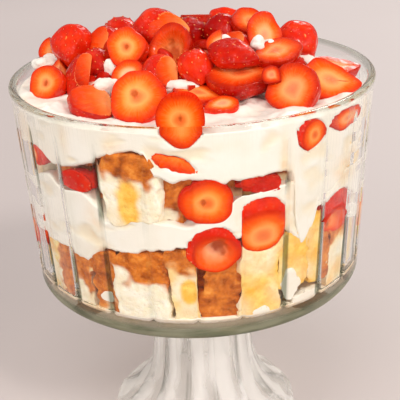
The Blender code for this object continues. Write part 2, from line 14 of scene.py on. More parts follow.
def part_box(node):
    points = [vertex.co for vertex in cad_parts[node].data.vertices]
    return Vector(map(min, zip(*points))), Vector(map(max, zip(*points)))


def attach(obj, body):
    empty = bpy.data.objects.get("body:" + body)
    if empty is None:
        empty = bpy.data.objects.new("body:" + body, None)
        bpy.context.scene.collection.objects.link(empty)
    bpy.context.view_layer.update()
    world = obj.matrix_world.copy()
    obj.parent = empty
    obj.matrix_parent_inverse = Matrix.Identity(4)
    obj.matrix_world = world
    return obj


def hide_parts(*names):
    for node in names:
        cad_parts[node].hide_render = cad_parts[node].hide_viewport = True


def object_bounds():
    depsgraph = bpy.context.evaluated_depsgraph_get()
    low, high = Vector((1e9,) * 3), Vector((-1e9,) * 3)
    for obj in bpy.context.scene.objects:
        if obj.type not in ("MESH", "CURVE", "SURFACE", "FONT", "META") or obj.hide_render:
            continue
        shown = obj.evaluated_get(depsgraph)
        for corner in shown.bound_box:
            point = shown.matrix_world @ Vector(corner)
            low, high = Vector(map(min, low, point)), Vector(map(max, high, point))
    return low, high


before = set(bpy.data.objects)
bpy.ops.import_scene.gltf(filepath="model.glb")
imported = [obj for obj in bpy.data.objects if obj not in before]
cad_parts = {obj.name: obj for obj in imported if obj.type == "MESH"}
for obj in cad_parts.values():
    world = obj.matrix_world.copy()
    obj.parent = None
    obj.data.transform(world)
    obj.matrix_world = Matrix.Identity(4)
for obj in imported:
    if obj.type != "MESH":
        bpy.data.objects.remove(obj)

CAD_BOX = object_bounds()
MM = 0.001

# ---- the bowl ----
HEIGHT = 236.0
RIM_RADIUS = 108.0
SIDE_TOP_RADIUS = 107.3
SIDE_TAPER = 6.3
BASE_DEPTH = 126.0
BASE_FILLET = 6.0
WALL = 4.8
FLOOR_DEPTH = 117.0
FLOOR_FILLET = 5.0
GROOVES = 26
GROOVE_START = -1.15
GROOVE_TOP_DEPTH = 10.0
GROOVE_BOTTOM_DEPTH = 113.0
GROOVE_HALF_WIDTHS = (1.7, 2.8)     # at the top and bottom of a groove
GROOVE_CUT = 1.35
FOOT_RADIUS = 62.3
FOOT_RING = 5.0
FOOT_WALL = 6.5
NECK_RADIUS = 32.0
HOLLOW_TOP = 99.0
FLUTES = 12
FLUTE_START = 12.0
STEPS_PER_GROOVE = 18
# GROOVE_SHADE: the strongest painted shade along a groove, as a share
GROOVE_SHADE = 0.95
BAND_DEPTHS = (114.5, 119.0)        # the thick base starts to show green between these
STEM_TOP = 108.0                    # below this height the glass is foot and stem
CROWDING = 0.35                     # spacing of the glass's edges at a groove, against the average

WET = 0.25                          # how far wet food reaches into the wall
DRY = -0.35                         # a dry surface stands this much off it
LOOSE = -0.5                        # what lies loose in the bowl keeps this far from it


# ---- shapes over space ----
def bumps(points, size, seed):
    """Smooth random values from -1 to 1 over space, about one bump to each size."""
    table = np.random.default_rng(seed).uniform(-1.0, 1.0, (32, 32, 32))
    place = points / size + 100.0
    cell = np.floor(place).astype(int)
    part = place - cell
    part = part * part * (3.0 - 2.0 * part)
    value = np.zeros(len(points))
    for corner in range(8):
        step = np.array([corner >> 2 & 1, corner >> 1 & 1, corner & 1])
        weight = np.prod(np.where(step, part, 1.0 - part), axis=1)
        i, j, k = ((cell + step) % 32).T
        value += weight * table[i, j, k]
    return value


def lumpy(points, size, seed, layers=3, fade=0.5):
    """Bumps with finer bumps on them."""
    total = np.zeros(len(points))
    weight = 1.0
    for layer in range(layers):
        total += weight * bumps(points, size * 0.5 ** layer, seed + layer)
        weight *= fade
    return total


def ease(low, high, value):
    part = np.clip((value - low) / (high - low), 0.0, 1.0)
    return part * part * (3.0 - 2.0 * part)


def around(knots, azimuth):
    """Values at azimuths, eased between knots and joined up round the bowl."""
    azimuth = (np.asarray(azimuth) + 180.0) % 360.0 - 180.0
    places = [knot[0] for knot in knots]
    values = [knot[1] for knot in knots]
    places = np.array([places[-1] - 360.0] + places + [places[0] + 360.0])
    values = np.array([values[-1]] + values + [values[0]])
    index = np.clip(np.searchsorted(places, azimuth, "right") - 1, 0, len(places) - 2)
    part = (azimuth - places[index]) / (places[index + 1] - places[index])
    part = part * part * (3.0 - 2.0 * part)
    return values[index] + (values[index + 1] - values[index]) * part


def side_radius(height):
    return SIDE_TOP_RADIUS - SIDE_TAPER * (HEIGHT - height) / BASE_DEPTH


def inner_radius(height):
    return side_radius(height) - WALL


def room(height):
    """Inside radius of the bowl, with its rounded floor."""
    floor = HEIGHT - FLOOR_DEPTH
    above = np.clip(height - floor, 0.0, FLOOR_FILLET)
    corner = FLOOR_FILLET - np.sqrt(FLOOR_FILLET ** 2 - (FLOOR_FILLET - above) ** 2)
    return inner_radius(height) - corner


def to_bowl(azimuth, radius, height):
    """Points from azimuth, radius and height."""
    angle = np.radians(azimuth)
    return np.stack([radius * np.sin(angle), -radius * np.cos(angle), height], axis=-1)


def azimuth_of(points):
    return np.degrees(np.arctan2(points[:, 0], -points[:, 1]))


def press(points, into):
    """Holds points inside the bowl: against the wall, or as far into it as asked."""
    floor = HEIGHT - FLOOR_DEPTH
    points[:, 2] = np.maximum(points[:, 2], floor - np.maximum(into, 0.0))
    limit = room(points[:, 2]) + into
    radius = np.hypot(points[:, 0], points[:, 1])
    share = np.minimum(1.0, limit / np.maximum(radius, 0.001))
    points[:, 0] *= share
    points[:, 1] *= share
    return points


# ---- handling meshes ----
def nothing_selected():
    if bpy.context.object and bpy.context.object.mode != "OBJECT":
        bpy.ops.object.mode_set(mode="OBJECT")
    bpy.ops.object.select_all(action="DESELECT")


def added(name):
    """Names the primitive that was just added."""
    piece = bpy.context.active_object
    piece.name = name
    piece.data.name = name
    return piece


def read_points(piece):
    points = np.empty(len(piece.data.vertices) * 3)
    piece.data.vertices.foreach_get("co", points)
    return points.reshape(-1, 3)


def write_points(piece, points):
    piece.data.vertices.foreach_set("co", np.ascontiguousarray(points).ravel())
    piece.data.update()


def normals_of(piece):
    values = np.empty(len(piece.data.vertices) * 3)
    piece.data.vertex_normals.foreach_get("vector", values)
    return values.reshape(-1, 3)


def note(piece, name, values):
    """Keeps one number for each vertex, for a material to read."""
    kept = piece.data.attributes.new(name, "FLOAT", "POINT")
    kept.data.foreach_set("value", np.asarray(values, dtype=np.float32))


def ball(name, segments, rings):
    """A fine ball to be pushed into shape, with the angles of its points."""
    nothing_selected()
    finer = 3 if segments > 120 else 1
    bpy.ops.mesh.primitive_uv_sphere_add(segments=segments // finer, ring_count=rings // finer, radius=1.0)
    piece = added(name)
    if finer > 1:
        bpy.ops.object.mode_set(mode="EDIT")
        bpy.ops.mesh.select_all(action="SELECT")
        bpy.ops.mesh.subdivide(number_cuts=finer - 1)
        bpy.ops.object.mode_set(mode="OBJECT")
    points = read_points(piece)
    points /= np.linalg.norm(points, axis=1)[:, None]
    turn = np.arctan2(points[:, 1], points[:, 0])
    down = 2.0 * np.arccos(np.clip(points[:, 2], -1.0, 1.0)) / math.pi
    return piece, turn, down


def apply_modifier(piece, name, kind, **settings):
    modifier = piece.modifiers.new(name, kind)
    for key, value in settings.items():
        setattr(modifier, key, value)
    nothing_selected()
    bpy.context.view_layer.objects.active = piece
    piece.select_set(True)
    bpy.ops.object.modifier_apply(modifier=name)


def join(pieces, name):
    nothing_selected()
    for piece in pieces:
        piece.select_set(True)
    bpy.context.view_layer.objects.active = pieces[0]
    if len(pieces) > 1:
        bpy.ops.object.join()
    return added(name)


def smooth(piece, degrees=180.0):
    nothing_selected()
    piece.select_set(True)
    bpy.context.view_layer.objects.active = piece
    if degrees < 180.0:
        bpy.ops.object.shade_smooth_by_angle(angle=math.radians(degrees))
    else:
        bpy.ops.object.shade_smooth()


def finished(piece, material, slot, *nodes):
    """Gives a piece its material, puts it on the body and lets it stand for its nodes."""
    piece.data.materials.clear()
    piece.data.materials.append(material)
    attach(piece, "root")
    if nodes:
        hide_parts(*nodes)
    return piece


# ---- shader nodes ----
class Bench:
    """A material's nodes, added and joined one at a time."""

    def __init__(self, name):
        self.material = bpy.data.materials.new(name)
        self.material.use_nodes = True
        self.tree = self.material.node_tree
        self.shader = self.tree.nodes["Principled BSDF"]
        self.output = self.tree.nodes["Material Output"]

    def set(self, **values):
        for key, value in values.items():
            self.shader.inputs[key.replace("_", " ")].default_value = value

    def add(self, kind, *inputs, **settings):
        node = self.tree.nodes.new("ShaderNode" + kind)
        for key, value in settings.items():
            setattr(node, key, value)
        for place, value in enumerate(inputs):
            self.give(node.inputs[place], value)
        return node

    def give(self, socket, value):
        if isinstance(value, bpy.types.Node):
            value = next(out for out in value.outputs if out.enabled)
        if isinstance(value, bpy.types.NodeSocket):
            self.tree.links.new(value, socket)
        else:
            socket.default_value = value

    def math(self, operation, *inputs, clamp=False):
        return self.add("Math", *inputs, operation=operation, use_clamp=clamp).outputs[0]

    def vector(self, operation, *inputs):
        node = self.add("VectorMath", operation=operation)
        for place, value in enumerate(inputs):
            socket = node.inputs["Scale"] if operation == "SCALE" and place == 1 else node.inputs[place]
            self.give(socket, value)
        return node.outputs["Value"] if operation in ("LENGTH", "DISTANCE") else node.outputs["Vector"]

    def between(self, value, low, high, to_low=0.0, to_high=1.0):
        node = self.add("MapRange", interpolation_type="SMOOTHSTEP", clamp=True)
        for name, number in (("Value", value), ("From Min", low), ("From Max", high),
                             ("To Min", to_low), ("To Max", to_high)):
            self.give(node.inputs[name], number)
        return node.outputs["Result"]

    def mix(self, share, first, second, blend="MIX"):
        node = self.add("Mix", data_type="RGBA", blend_type=blend, clamp_factor=True)
        for name, value in (("Factor_Float", share), ("A_Color", first), ("B_Color", second)):
            socket = next(s for s in node.inputs if s.identifier == name)
            if isinstance(value, tuple) and len(value) == 3:
                value = (*value, 1.0)
            self.give(socket, value)
        return next(s for s in node.outputs if s.identifier == "Result_Color")

    def noise(self, place, size, detail=2.0, rough=0.5, twist=0.0):
        """Soft random values; size is the width of a patch in millimetres."""
        node = self.add("TexNoise", place)
        node.inputs["Scale"].default_value = 1.0 / (size * MM)
        node.inputs["Detail"].default_value = detail
        node.inputs["Roughness"].default_value = rough
        node.inputs["Distortion"].default_value = twist
        return node.outputs["Fac"]

    def ramp(self, value, *stops):
        node = self.add("ValToRGB", value)
        elements = node.color_ramp.elements
        while len(elements) < len(stops):
            elements.new(0.5)
        for element, (place, colour) in zip(elements, stops):
            element.position = place
            element.color = (*colour, 1.0)
        return node.outputs["Color"]

    def place(self):
        return self.add("TexCoord").outputs["Object"]

    def noted(self, name):
        return self.add("Attribute", attribute_name=name).outputs["Fac"]

    def bump(self, height, distance, strength):
        node = self.add("Bump")
        node.inputs["Strength"].default_value = strength
        node.inputs["Distance"].default_value = distance * MM
        self.give(node.inputs["Height"], height)
        return node.outputs["Normal"]

    def wire(self, **sockets):
        for key, value in sockets.items():
            self.give(self.shader.inputs[key.replace("_", " ")], value)
        return self.material


class GroupBench(Bench):
    """A group's nodes, for what more than one material uses."""

    def __init__(self, name, given, put_out):
        self.tree = bpy.data.node_groups.new(name, "ShaderNodeTree")
        for way, sockets in (("INPUT", given), ("OUTPUT", put_out)):
            for label, kind in sockets.items():
                self.tree.interface.new_socket(name=label, in_out=way, socket_type="NodeSocket" + kind)
        self.given = self.tree.nodes.new("NodeGroupInput")
        self.output = self.tree.nodes.new("NodeGroupOutput")

    def put_out(self, **sockets):
        for key, value in sockets.items():
            self.give(self.output.inputs[key.replace("_", " ")], value)
        return self.tree


def glass_material():
    """Clear pressed glass, a little green where it is thick, with painted shade on its grooves, foot ridges
    and rim sides, and a painted diffuse sheen on its foot and base.
    """
    bench = Bench("pressed_glass")
    place = bench.place()
    height = bench.add("SeparateXYZ", place).outputs["Z"]
    thick = bench.between(height, (HEIGHT - BAND_DEPTHS[1]) * MM, (HEIGHT - BAND_DEPTHS[0]) * MM, 1.0, 0.0)
    foot = bench.between(height, (STEM_TOP - 12.0) * MM, STEM_TOP * MM, 0.0, 1.0)
    band = bench.math("MULTIPLY", thick, foot)
    cloud = bench.noise(place, 30.0, 3.0)
    clear = bench.mix(cloud, (1.0, 1.0, 1.0), (0.97, 0.985, 0.975))
    colour = bench.mix(band, clear, (0.16, 0.20, 0.12))
    # The rim attribute: own green of the thick rim, stronger at the sides as painted shade
    colour = bench.mix(bench.noted("rim"), colour, (0.36, 0.40, 0.34))
    # Painted shade: grooves and foot ridges darkened grey-green where the groove attribute asks
    groove = bench.noted("groove")
    colour = bench.mix(groove, colour, (0.075, 0.105, 0.072))
    bench.set(Transmission_Weight=1.0, IOR=1.37, Metallic=0.0, Specular_Tint=(0.35, 0.35, 0.35, 1.0))
    roughness = bench.between(cloud, 0.3, 0.7, 0.0, 0.03)
    bench.wire(Base_Color=colour, Roughness=roughness)
    path = bench.add("LightPath")
    soft = bench.math("MAXIMUM", path.outputs["Is Shadow Ray"], path.outputs["Is Diffuse Ray"])
    late = bench.math("GREATER_THAN", path.outputs["Ray Depth"], 4.5)
    soft = bench.math("MAXIMUM", soft, late)
    through = bench.add("BsdfTransparent")
    through.inputs["Color"].default_value = (0.98, 0.99, 0.98, 1.0)
    # Painted sheen: a diffuse layer over the foot, with pale and grey stripes along its flutes as painted
    # highlights and shade, and a grey-green one over the thick base for its bright look
    streaks = bench.vector("MULTIPLY", place, (1.0, 1.0, 6.0))
    streaks = bench.between(bench.noise(streaks, 26.0, 3.0), 0.35, 0.65)
    green = bench.mix(streaks, (0.17, 0.19, 0.125), (0.36, 0.36, 0.26))
    parts = bench.add("SeparateXYZ", place)
    turn = bench.math("ARCTAN2", parts.outputs["X"], parts.outputs["Y"])
    lines = bench.math("MULTIPLY", bench.math("SINE", bench.math("MULTIPLY", turn, float(FLUTES))), 0.12)
    broken = bench.noise(bench.vector("MULTIPLY", place, (1.0, 1.0, 0.10)), 12.0, 2.0)
    lines = bench.math("ADD", broken, lines)
    pale = bench.mix(bench.between(lines, 0.38, 0.54), (0.60, 0.58, 0.54), (0.98, 0.96, 0.93))
    painted_sheen = bench.add("BsdfDiffuse", bench.mix(foot, pale, green))
    low = bench.between(lines, 0.38, 0.60, 0.16, 0.34)
    low = bench.math("MULTIPLY", low, bench.between(height, (STEM_TOP - 8.0) * MM, STEM_TOP * MM, 1.0, 0.0))
    sheen_share = bench.math("MAXIMUM", low, bench.math("MULTIPLY", band, 0.50))
    body = bench.add("MixShader", sheen_share, bench.shader.outputs["BSDF"], painted_sheen.outputs["BSDF"])
    mixed = bench.add("MixShader", soft, body.outputs["Shader"], through.outputs["BSDF"])
    bench.tree.links.new(mixed.outputs["Shader"], bench.output.inputs["Surface"])
    return bench.material


def berry_pattern():
    """Strawberry: seeded skin outside and, inside the edge of a cut, fibres round a pale core."""
    bench = GroupBench("cut_strawberry", {"Wetness": "Float"},
                       {"Color": "Color", "Roughness": "Float", "Coat Weight": "Float", "Normal": "Vector"})
    place = bench.place()
    cut = bench.add("UVMap", uv_map="cut").outputs["UV"]
    out = bench.vector("LENGTH", cut)
    wander = bench.noise(place, 5.0, 2.0)
    reach = bench.math("ADD", out, bench.math("MULTIPLY", bench.math("SUBTRACT", wander, 0.5), 0.16))
    way = bench.vector("NORMALIZE", cut)
    spokes = bench.vector("SCALE", way, 0.030)
    spokes = bench.vector("ADD", spokes, bench.vector("SCALE", cut, 0.003))
    fibres = bench.noise(spokes, 2.4, 3.0, 0.62)
    fibres = bench.between(fibres, 0.42, 0.64)
    tone = bench.noted("tone")
    pale = bench.noted("pale")

    orange = bench.ramp(reach, (0.0, (0.84, 0.10, 0.006)), (0.15, (0.91, 0.16, 0.012)),
                        (0.34, (0.96, 0.36, 0.070)), (0.48, (0.95, 0.24, 0.026)), (0.62, (0.93, 0.12, 0.004)),
                        (0.80, (0.90, 0.068, 0.002)), (0.96, (0.66, 0.014, 0.001)))
    red = bench.ramp(reach, (0.0, (0.66, 0.06, 0.014)), (0.15, (0.76, 0.10, 0.028)),
                     (0.34, (0.86, 0.19, 0.060)), (0.48, (0.80, 0.08, 0.014)), (0.62, (0.72, 0.032, 0.003)),
                     (0.80, (0.58, 0.012, 0.001)), (0.96, (0.32, 0.004, 0.001)))
    flesh = bench.mix(tone, orange, red)
    core = bench.between(reach, 0.22, 0.66, 1.0, 0.0)
    flesh = bench.mix(bench.math("MULTIPLY", core, pale), flesh,
                      bench.mix(pale, (0.95, 0.40, 0.17), (0.98, 0.70, 0.48)))
    streak = bench.math("MULTIPLY", fibres, bench.between(reach, 0.25, 0.60, 0.0, 0.17))
    flesh = bench.mix(streak, flesh, bench.mix(tone, (0.98, 0.40, 0.10), (0.90, 0.20, 0.06)))
    notch = bench.math("MULTIPLY", fibres, bench.between(reach, 0.68, 0.86, 0.0, 0.75))
    flesh = bench.mix(notch, flesh, bench.mix(tone, (0.72, 0.016, 0.001), (0.36, 0.004, 0.001)))
    # Painted shade: the hollow in the core darkened brown
    hole = bench.noted("hole")
    flesh = bench.mix(bench.math("MULTIPLY", hole, 0.85), flesh, (0.50, 0.075, 0.010))

    patches = bench.noise(place, 9.0, 3.0)
    skin = bench.mix(tone, (0.82, 0.022, 0.004), (0.34, 0.002, 0.002))
    light = bench.mix(tone, (0.92, 0.052, 0.006), (0.60, 0.009, 0.003))
    skin = bench.mix(bench.between(patches, 0.40, 0.75), skin, light)
    # Painted shade: the skin darkened in the seed dimples
    dimple = bench.noted("dimple")
    skin = bench.mix(bench.math("MULTIPLY", dimple, 0.22), skin, (0.26, 0.003, 0.001))
    # Pale pink froth of juice on the skin, which also serves as painted glints
    froth_and_glints = bench.noise(place, 1.7, 1.0)
    clumps = bench.between(bench.noise(place, 8.0, 1.0), 0.50, 0.66)
    froth_and_glints = bench.math("MULTIPLY", bench.between(froth_and_glints, 0.56, 0.68, 0.0, 0.35), clumps)
    skin = bench.mix(froth_and_glints, skin, (0.95, 0.17, 0.15))
    colour = bench.mix(bench.between(out, 0.985, 1.03), flesh, skin)

    grain = bench.noise(place, 1.4, 2.0)
    relief = bench.math("ADD", bench.math("MULTIPLY", fibres, 0.25), bench.math("MULTIPLY", grain, 0.8))
    normal = bench.bump(relief, 0.30, 0.6)
    wet = bench.noise(place, 4.0, 2.0)
    coat = bench.between(wet, 0.45, 0.60, 0.05, 0.75)
    return bench.put_out(Color=colour, Roughness=bench.between(wet, 0.35, 0.65, 0.12, 0.30), Normal=normal,
                         Coat_Weight=bench.math("MULTIPLY", coat, bench.given.outputs["Wetness"]))


def berry_material(name, pattern, wetness):
    """Strawberry with a film of juice, or without one where glass lies on it."""
    bench = Bench(name)
    berry = bench.add("Group", node_tree=pattern)
    berry.inputs["Wetness"].default_value = wetness
    bench.set(Coat_Roughness=0.05, IOR=1.36, Specular_IOR_Level=0.25 * wetness)
    bench.wire(Base_Color=berry.outputs["Color"], Roughness=berry.outputs["Roughness"],
               Normal=berry.outputs["Normal"])
    if wetness:
        bench.wire(Coat_Weight=berry.outputs["Coat Weight"])
    return bench.material


def seed_material():
    bench = Bench("berry_seed")
    patches = bench.noise(bench.place(), 6.0, 2.0)
    colour = bench.ramp(patches, (0.3, (0.72, 0.10, 0.02)), (0.5, (0.86, 0.25, 0.06)),
                        (0.7, (0.93, 0.48, 0.16)))
    bench.wire(Base_Color=colour, Roughness=bench.between(patches, 0.3, 0.7, 0.2, 0.4))
    return bench.material


def cream_material():
    """Whipped cream: nearly white, warmer where stained, with painted warm shade in its folds and air pockets
    and red juice with painted shade under the heap.
    """
    bench = Bench("whipped_cream")
    place = bench.place()
    cloud = bench.noise(place, 28.0, 4.0, 0.55)
    fine = bench.noise(place, 5.0, 3.0, 0.6)
    white = bench.mix(bench.between(cloud, 0.35, 0.7), (0.905, 0.865, 0.79), (0.87, 0.81, 0.71))
    # Painted shade: the cream warmer and darker in its folds and where it lifts off the glass
    fold_shade = bench.noted("fold_shade")
    white = bench.mix(bench.math("MULTIPLY", fold_shade, 0.75), white, (0.88, 0.74, 0.54))
    stained = bench.noted("stain")
    stain = bench.mix(bench.between(fine, 0.4, 0.65), (0.86, 0.56, 0.28), (0.92, 0.73, 0.47))
    colour = bench.mix(stained, white, stain)
    # Red juice on the cream under the heap, its darkest red standing for painted shade between the pieces
    juice_and_shade = bench.noted("juice_and_shade")
    red = bench.mix(bench.between(fine, 0.35, 0.65), (0.62, 0.045, 0.010), (0.90, 0.30, 0.17))
    colour = bench.mix(juice_and_shade, colour, red)
    relief = bench.math("ADD", bench.math("MULTIPLY", fine, 0.7), bench.math("MULTIPLY", cloud, 1.2))
    normal = bench.bump(relief, 0.7, 0.5)
    bench.set(IOR=1.4, Specular_IOR_Level=0.4)
    bench.wire(Base_Color=colour, Roughness=bench.between(fine, 0.3, 0.7, 0.34, 0.52), Normal=normal)
    return bench.material


def cake_material():
    """Torn sponge: open pale or yellow crumb with a browned crust, with painted shade in its pores and deep
    inside.
    """
    bench = Bench("sponge_cake")
    place = bench.place()
    crust = bench.noted("crust")
    yolk = bench.noted("yolk")
    shade = bench.noted("deep")
    grain = bench.noise(place, 1.6, 3.0, 0.65)
    mottle = bench.noise(place, 7.0, 3.0, 0.6)
    pores = bench.add("TexVoronoi", place, feature="F1")
    pores.inputs["Scale"].default_value = 1.0 / (1.9 * MM)
    hole = bench.between(pores.outputs["Distance"], 0.12, 0.45, 1.0, 0.0)
    crumb = bench.mix(yolk, (0.91, 0.81, 0.60), (0.94, 0.47, 0.065))
    light = bench.mix(yolk, (0.96, 0.90, 0.77), (0.96, 0.65, 0.15))
    crumb = bench.mix(bench.between(mottle, 0.35, 0.7), crumb, light)
    # Painted shade: the crumb darker in its pores
    pore_shade = bench.mix(yolk, (0.84, 0.70, 0.46), (0.84, 0.44, 0.09))
    crumb = bench.mix(bench.math("MULTIPLY", hole, 0.22), crumb, pore_shade)
    brown = bench.ramp(mottle, (0.30, (0.24, 0.045, 0.004)), (0.44, (0.50, 0.110, 0.010)),
                       (0.58, (0.70, 0.195, 0.020)), (0.74, (0.87, 0.34, 0.060)))
    brown = bench.mix(bench.math("MULTIPLY", bench.between(grain, 0.5, 0.75), 0.3), brown, (0.92, 0.42, 0.11))
    colour = bench.mix(crust, crumb, brown)
    # Painted shade: the cake darkened far from the glass
    colour = bench.mix(shade, colour, (0.16, 0.055, 0.014))
    relief = bench.math("SUBTRACT", bench.math("MULTIPLY", grain, 0.7), bench.math("MULTIPLY", hole, 0.4))
    normal = bench.bump(relief, 0.5, 0.6)
    bench.set(Subsurface_Weight=0.08, Subsurface_Scale=0.003, Specular_IOR_Level=0.15)
    bench.shader.inputs["Subsurface Radius"].default_value = (1.0, 0.6, 0.3)
    bench.wire(Base_Color=colour, Roughness=bench.between(crust, 0.0, 1.0, 0.85, 0.6), Normal=normal)
    return bench.material


def floor_material():
    """A pale table, with painted shade darker towards its middle, under the bowl, and painted light towards
    +X.
    """
    bench = Bench("pale_table")
    place = bench.place()
    cloud = bench.noise(place, 500.0, 2.0)
    colour = bench.mix(cloud, (0.71, 0.637, 0.624), (0.745, 0.672, 0.659))
    shade_near_middle = bench.between(bench.vector("LENGTH", place), 0.15, 1.6, 1.0, 0.0)
    colour = bench.mix(shade_near_middle, colour, (0.56, 0.498, 0.486))
    # Painted light: the table lighter towards +X
    side = bench.between(bench.add("SeparateXYZ", place).outputs["X"], -0.5, 0.7)
    colour = bench.mix(bench.math("MULTIPLY", side, 0.35), colour, (0.84, 0.775, 0.76))
    bench.wire(Base_Color=colour, Roughness=bench.between(cloud, 0.3, 0.7, 0.6, 0.75))
    return bench.material


# ---- the bowl ----
def curve_through(stations, per_span):
    """Extra stations on a smooth curve through the given ones."""
    points = np.array(stations, dtype=float)
    rows = []
    for i in range(len(points) - 1):
        before = points[max(i - 1, 0)]
        start, end = points[i], points[i + 1]
        after = points[min(i + 2, len(points) - 1)]
        for step in range(per_span):
            t = step / per_span
            rows.append(0.5 * ((2 * start) + (end - before) * t
                               + (2 * before - 5 * start + 4 * end - after) * t * t
                               + (3 * start - before - 3 * end + after) * t ** 3))
    rows.append(points[-1])
    return rows


def foot_stations():
    return (
        (0.0, FOOT_RADIUS, 0.8),
        (3.0, FOOT_RADIUS - 1.7, 1.4),
        (6.5, FOOT_RADIUS - 7.1, 2.4),
        (11.0, FOOT_RADIUS - 12.7, 3.4),
        (16.0, NECK_RADIUS + 13.4, 3.8),
        (22.0, NECK_RADIUS + 9.4, 3.4),
        (31.0, NECK_RADIUS + 5.2, 2.6),
        (45.0, NECK_RADIUS + 2.2, 1.8),
        (70.0, NECK_RADIUS + 0.4, 1.4),
        (103.0, NECK_RADIUS + 0.8, 0.8),
    )


def bowl_stations():
    """Height, radius and flute depth of every ring, from inside the floor to inside the foot."""
    floor = HEIGHT - FLOOR_DEPTH
    base = HEIGHT - BASE_DEPTH
    rings = [(floor, 30.0, 0), (floor, 60.0, 0), (floor, 85.0, 0)]
    for step in range(7):
        height = floor + FLOOR_FILLET * (1.0 - math.cos(0.5 * math.pi * step / 6))
        rings.append((height, float(room(height)), 0))
    for depth in range(105, 5, -10):
        rings.append((HEIGHT - depth, inner_radius(HEIGHT - depth), 0))
    rim = [(HEIGHT - 3.4, inner_radius(HEIGHT - 3.4), 0), (HEIGHT - 1.6, RIM_RADIUS - 5.1, 0),
           (HEIGHT - 0.4, RIM_RADIUS - 4.0, 0), (HEIGHT, RIM_RADIUS - 2.6, 0),
           (HEIGHT - 0.5, RIM_RADIUS - 1.1, 0), (HEIGHT - 1.6, RIM_RADIUS - 0.35, 0),
           (HEIGHT - 2.8, RIM_RADIUS - 0.35, 0), (HEIGHT - 4.6, side_radius(HEIGHT - 4.6), 0)]
    rings += [tuple(row) for row in curve_through(rim, 2)]
    depths = [7, 8.5, 9.5, 10.5, 11.5, 13, 15, 18, 22, 28, 36, 44, 52, 60, 68, 76, 84, 92, 99, 104, 107,
              109, 110.5, 111.5, 112.3, 113, 113.8]
    rings += [(HEIGHT - depth, side_radius(HEIGHT - depth), 0) for depth in depths]
    outer = side_radius(base + BASE_FILLET)
    for step in range(1, 9):
        turn = 0.5 * math.pi * step / 8
        rings.append((base + BASE_FILLET * (1.0 - math.sin(turn)),
                      outer - BASE_FILLET * (1.0 - math.cos(turn)), 0))
    rings += [(base, 80.0, 0), (base, 60.0, 0), (base, NECK_RADIUS + 14.0, 0),
              (base - 1.0, NECK_RADIUS + 6.5, 0.3), (base - 3.4, NECK_RADIUS + 3.4, 0.6)]
    foot = curve_through(foot_stations(), 4)
    rings += [tuple(row) for row in reversed(foot)]
    rings += [(0.0, FOOT_RADIUS - FOOT_RING, 0)]
    inside = [(height - 1.5, radius - FOOT_WALL, 0.35 * dip) for height, radius, dip in foot[4:-4:2]]
    inside[0] = (1.4, FOOT_RADIUS - FOOT_RING - 1.2, 0.3)
    rings += inside
    rings += [(90.0, NECK_RADIUS - FOOT_WALL - 0.5, 0), (95.0, NECK_RADIUS - FOOT_WALL - 2.0, 0),
              (98.0, NECK_RADIUS - FOOT_WALL - 7.0, 0), (HOLLOW_TOP, 8.0, 0)]
    return rings


def flute_dip(azimuth, depth):
    place = ((azimuth - FLUTE_START) % (360.0 / FLUTES)) * FLUTES / 360.0
    return depth * (1.0 - (2.0 * place - 1.0) ** 2)


def groove_shade_share(azimuth, depth):
    """How strong the painted shade along a groove is: hardly over cream that wets the glass, and least at the
    front.
    """
    top = around(TOP_CREAM_EDGE, azimuth)
    middle = around(MIDDLE_CREAM_TOP, azimuth)
    low = around(MIDDLE_CREAM_EDGE, azimuth)
    upper_cake = ease(-3.0, 3.0, depth - top) * (1.0 - ease(-3.0, 3.0, depth - middle))
    dry = np.maximum(upper_cake, ease(-3.0, 3.0, depth - low))
    left = ease(42.0, 52.0, -azimuth) * (1.0 - ease(100.0, 120.0, -azimuth)) * ease(10.0, 16.0, depth)
    dry = np.maximum(dry, left * (1.0 - ease(40.0, 58.0, depth)))
    return (0.12 + 0.88 * dry) * (0.15 + 0.85 * ease(12.0, 26.0, abs(azimuth)))


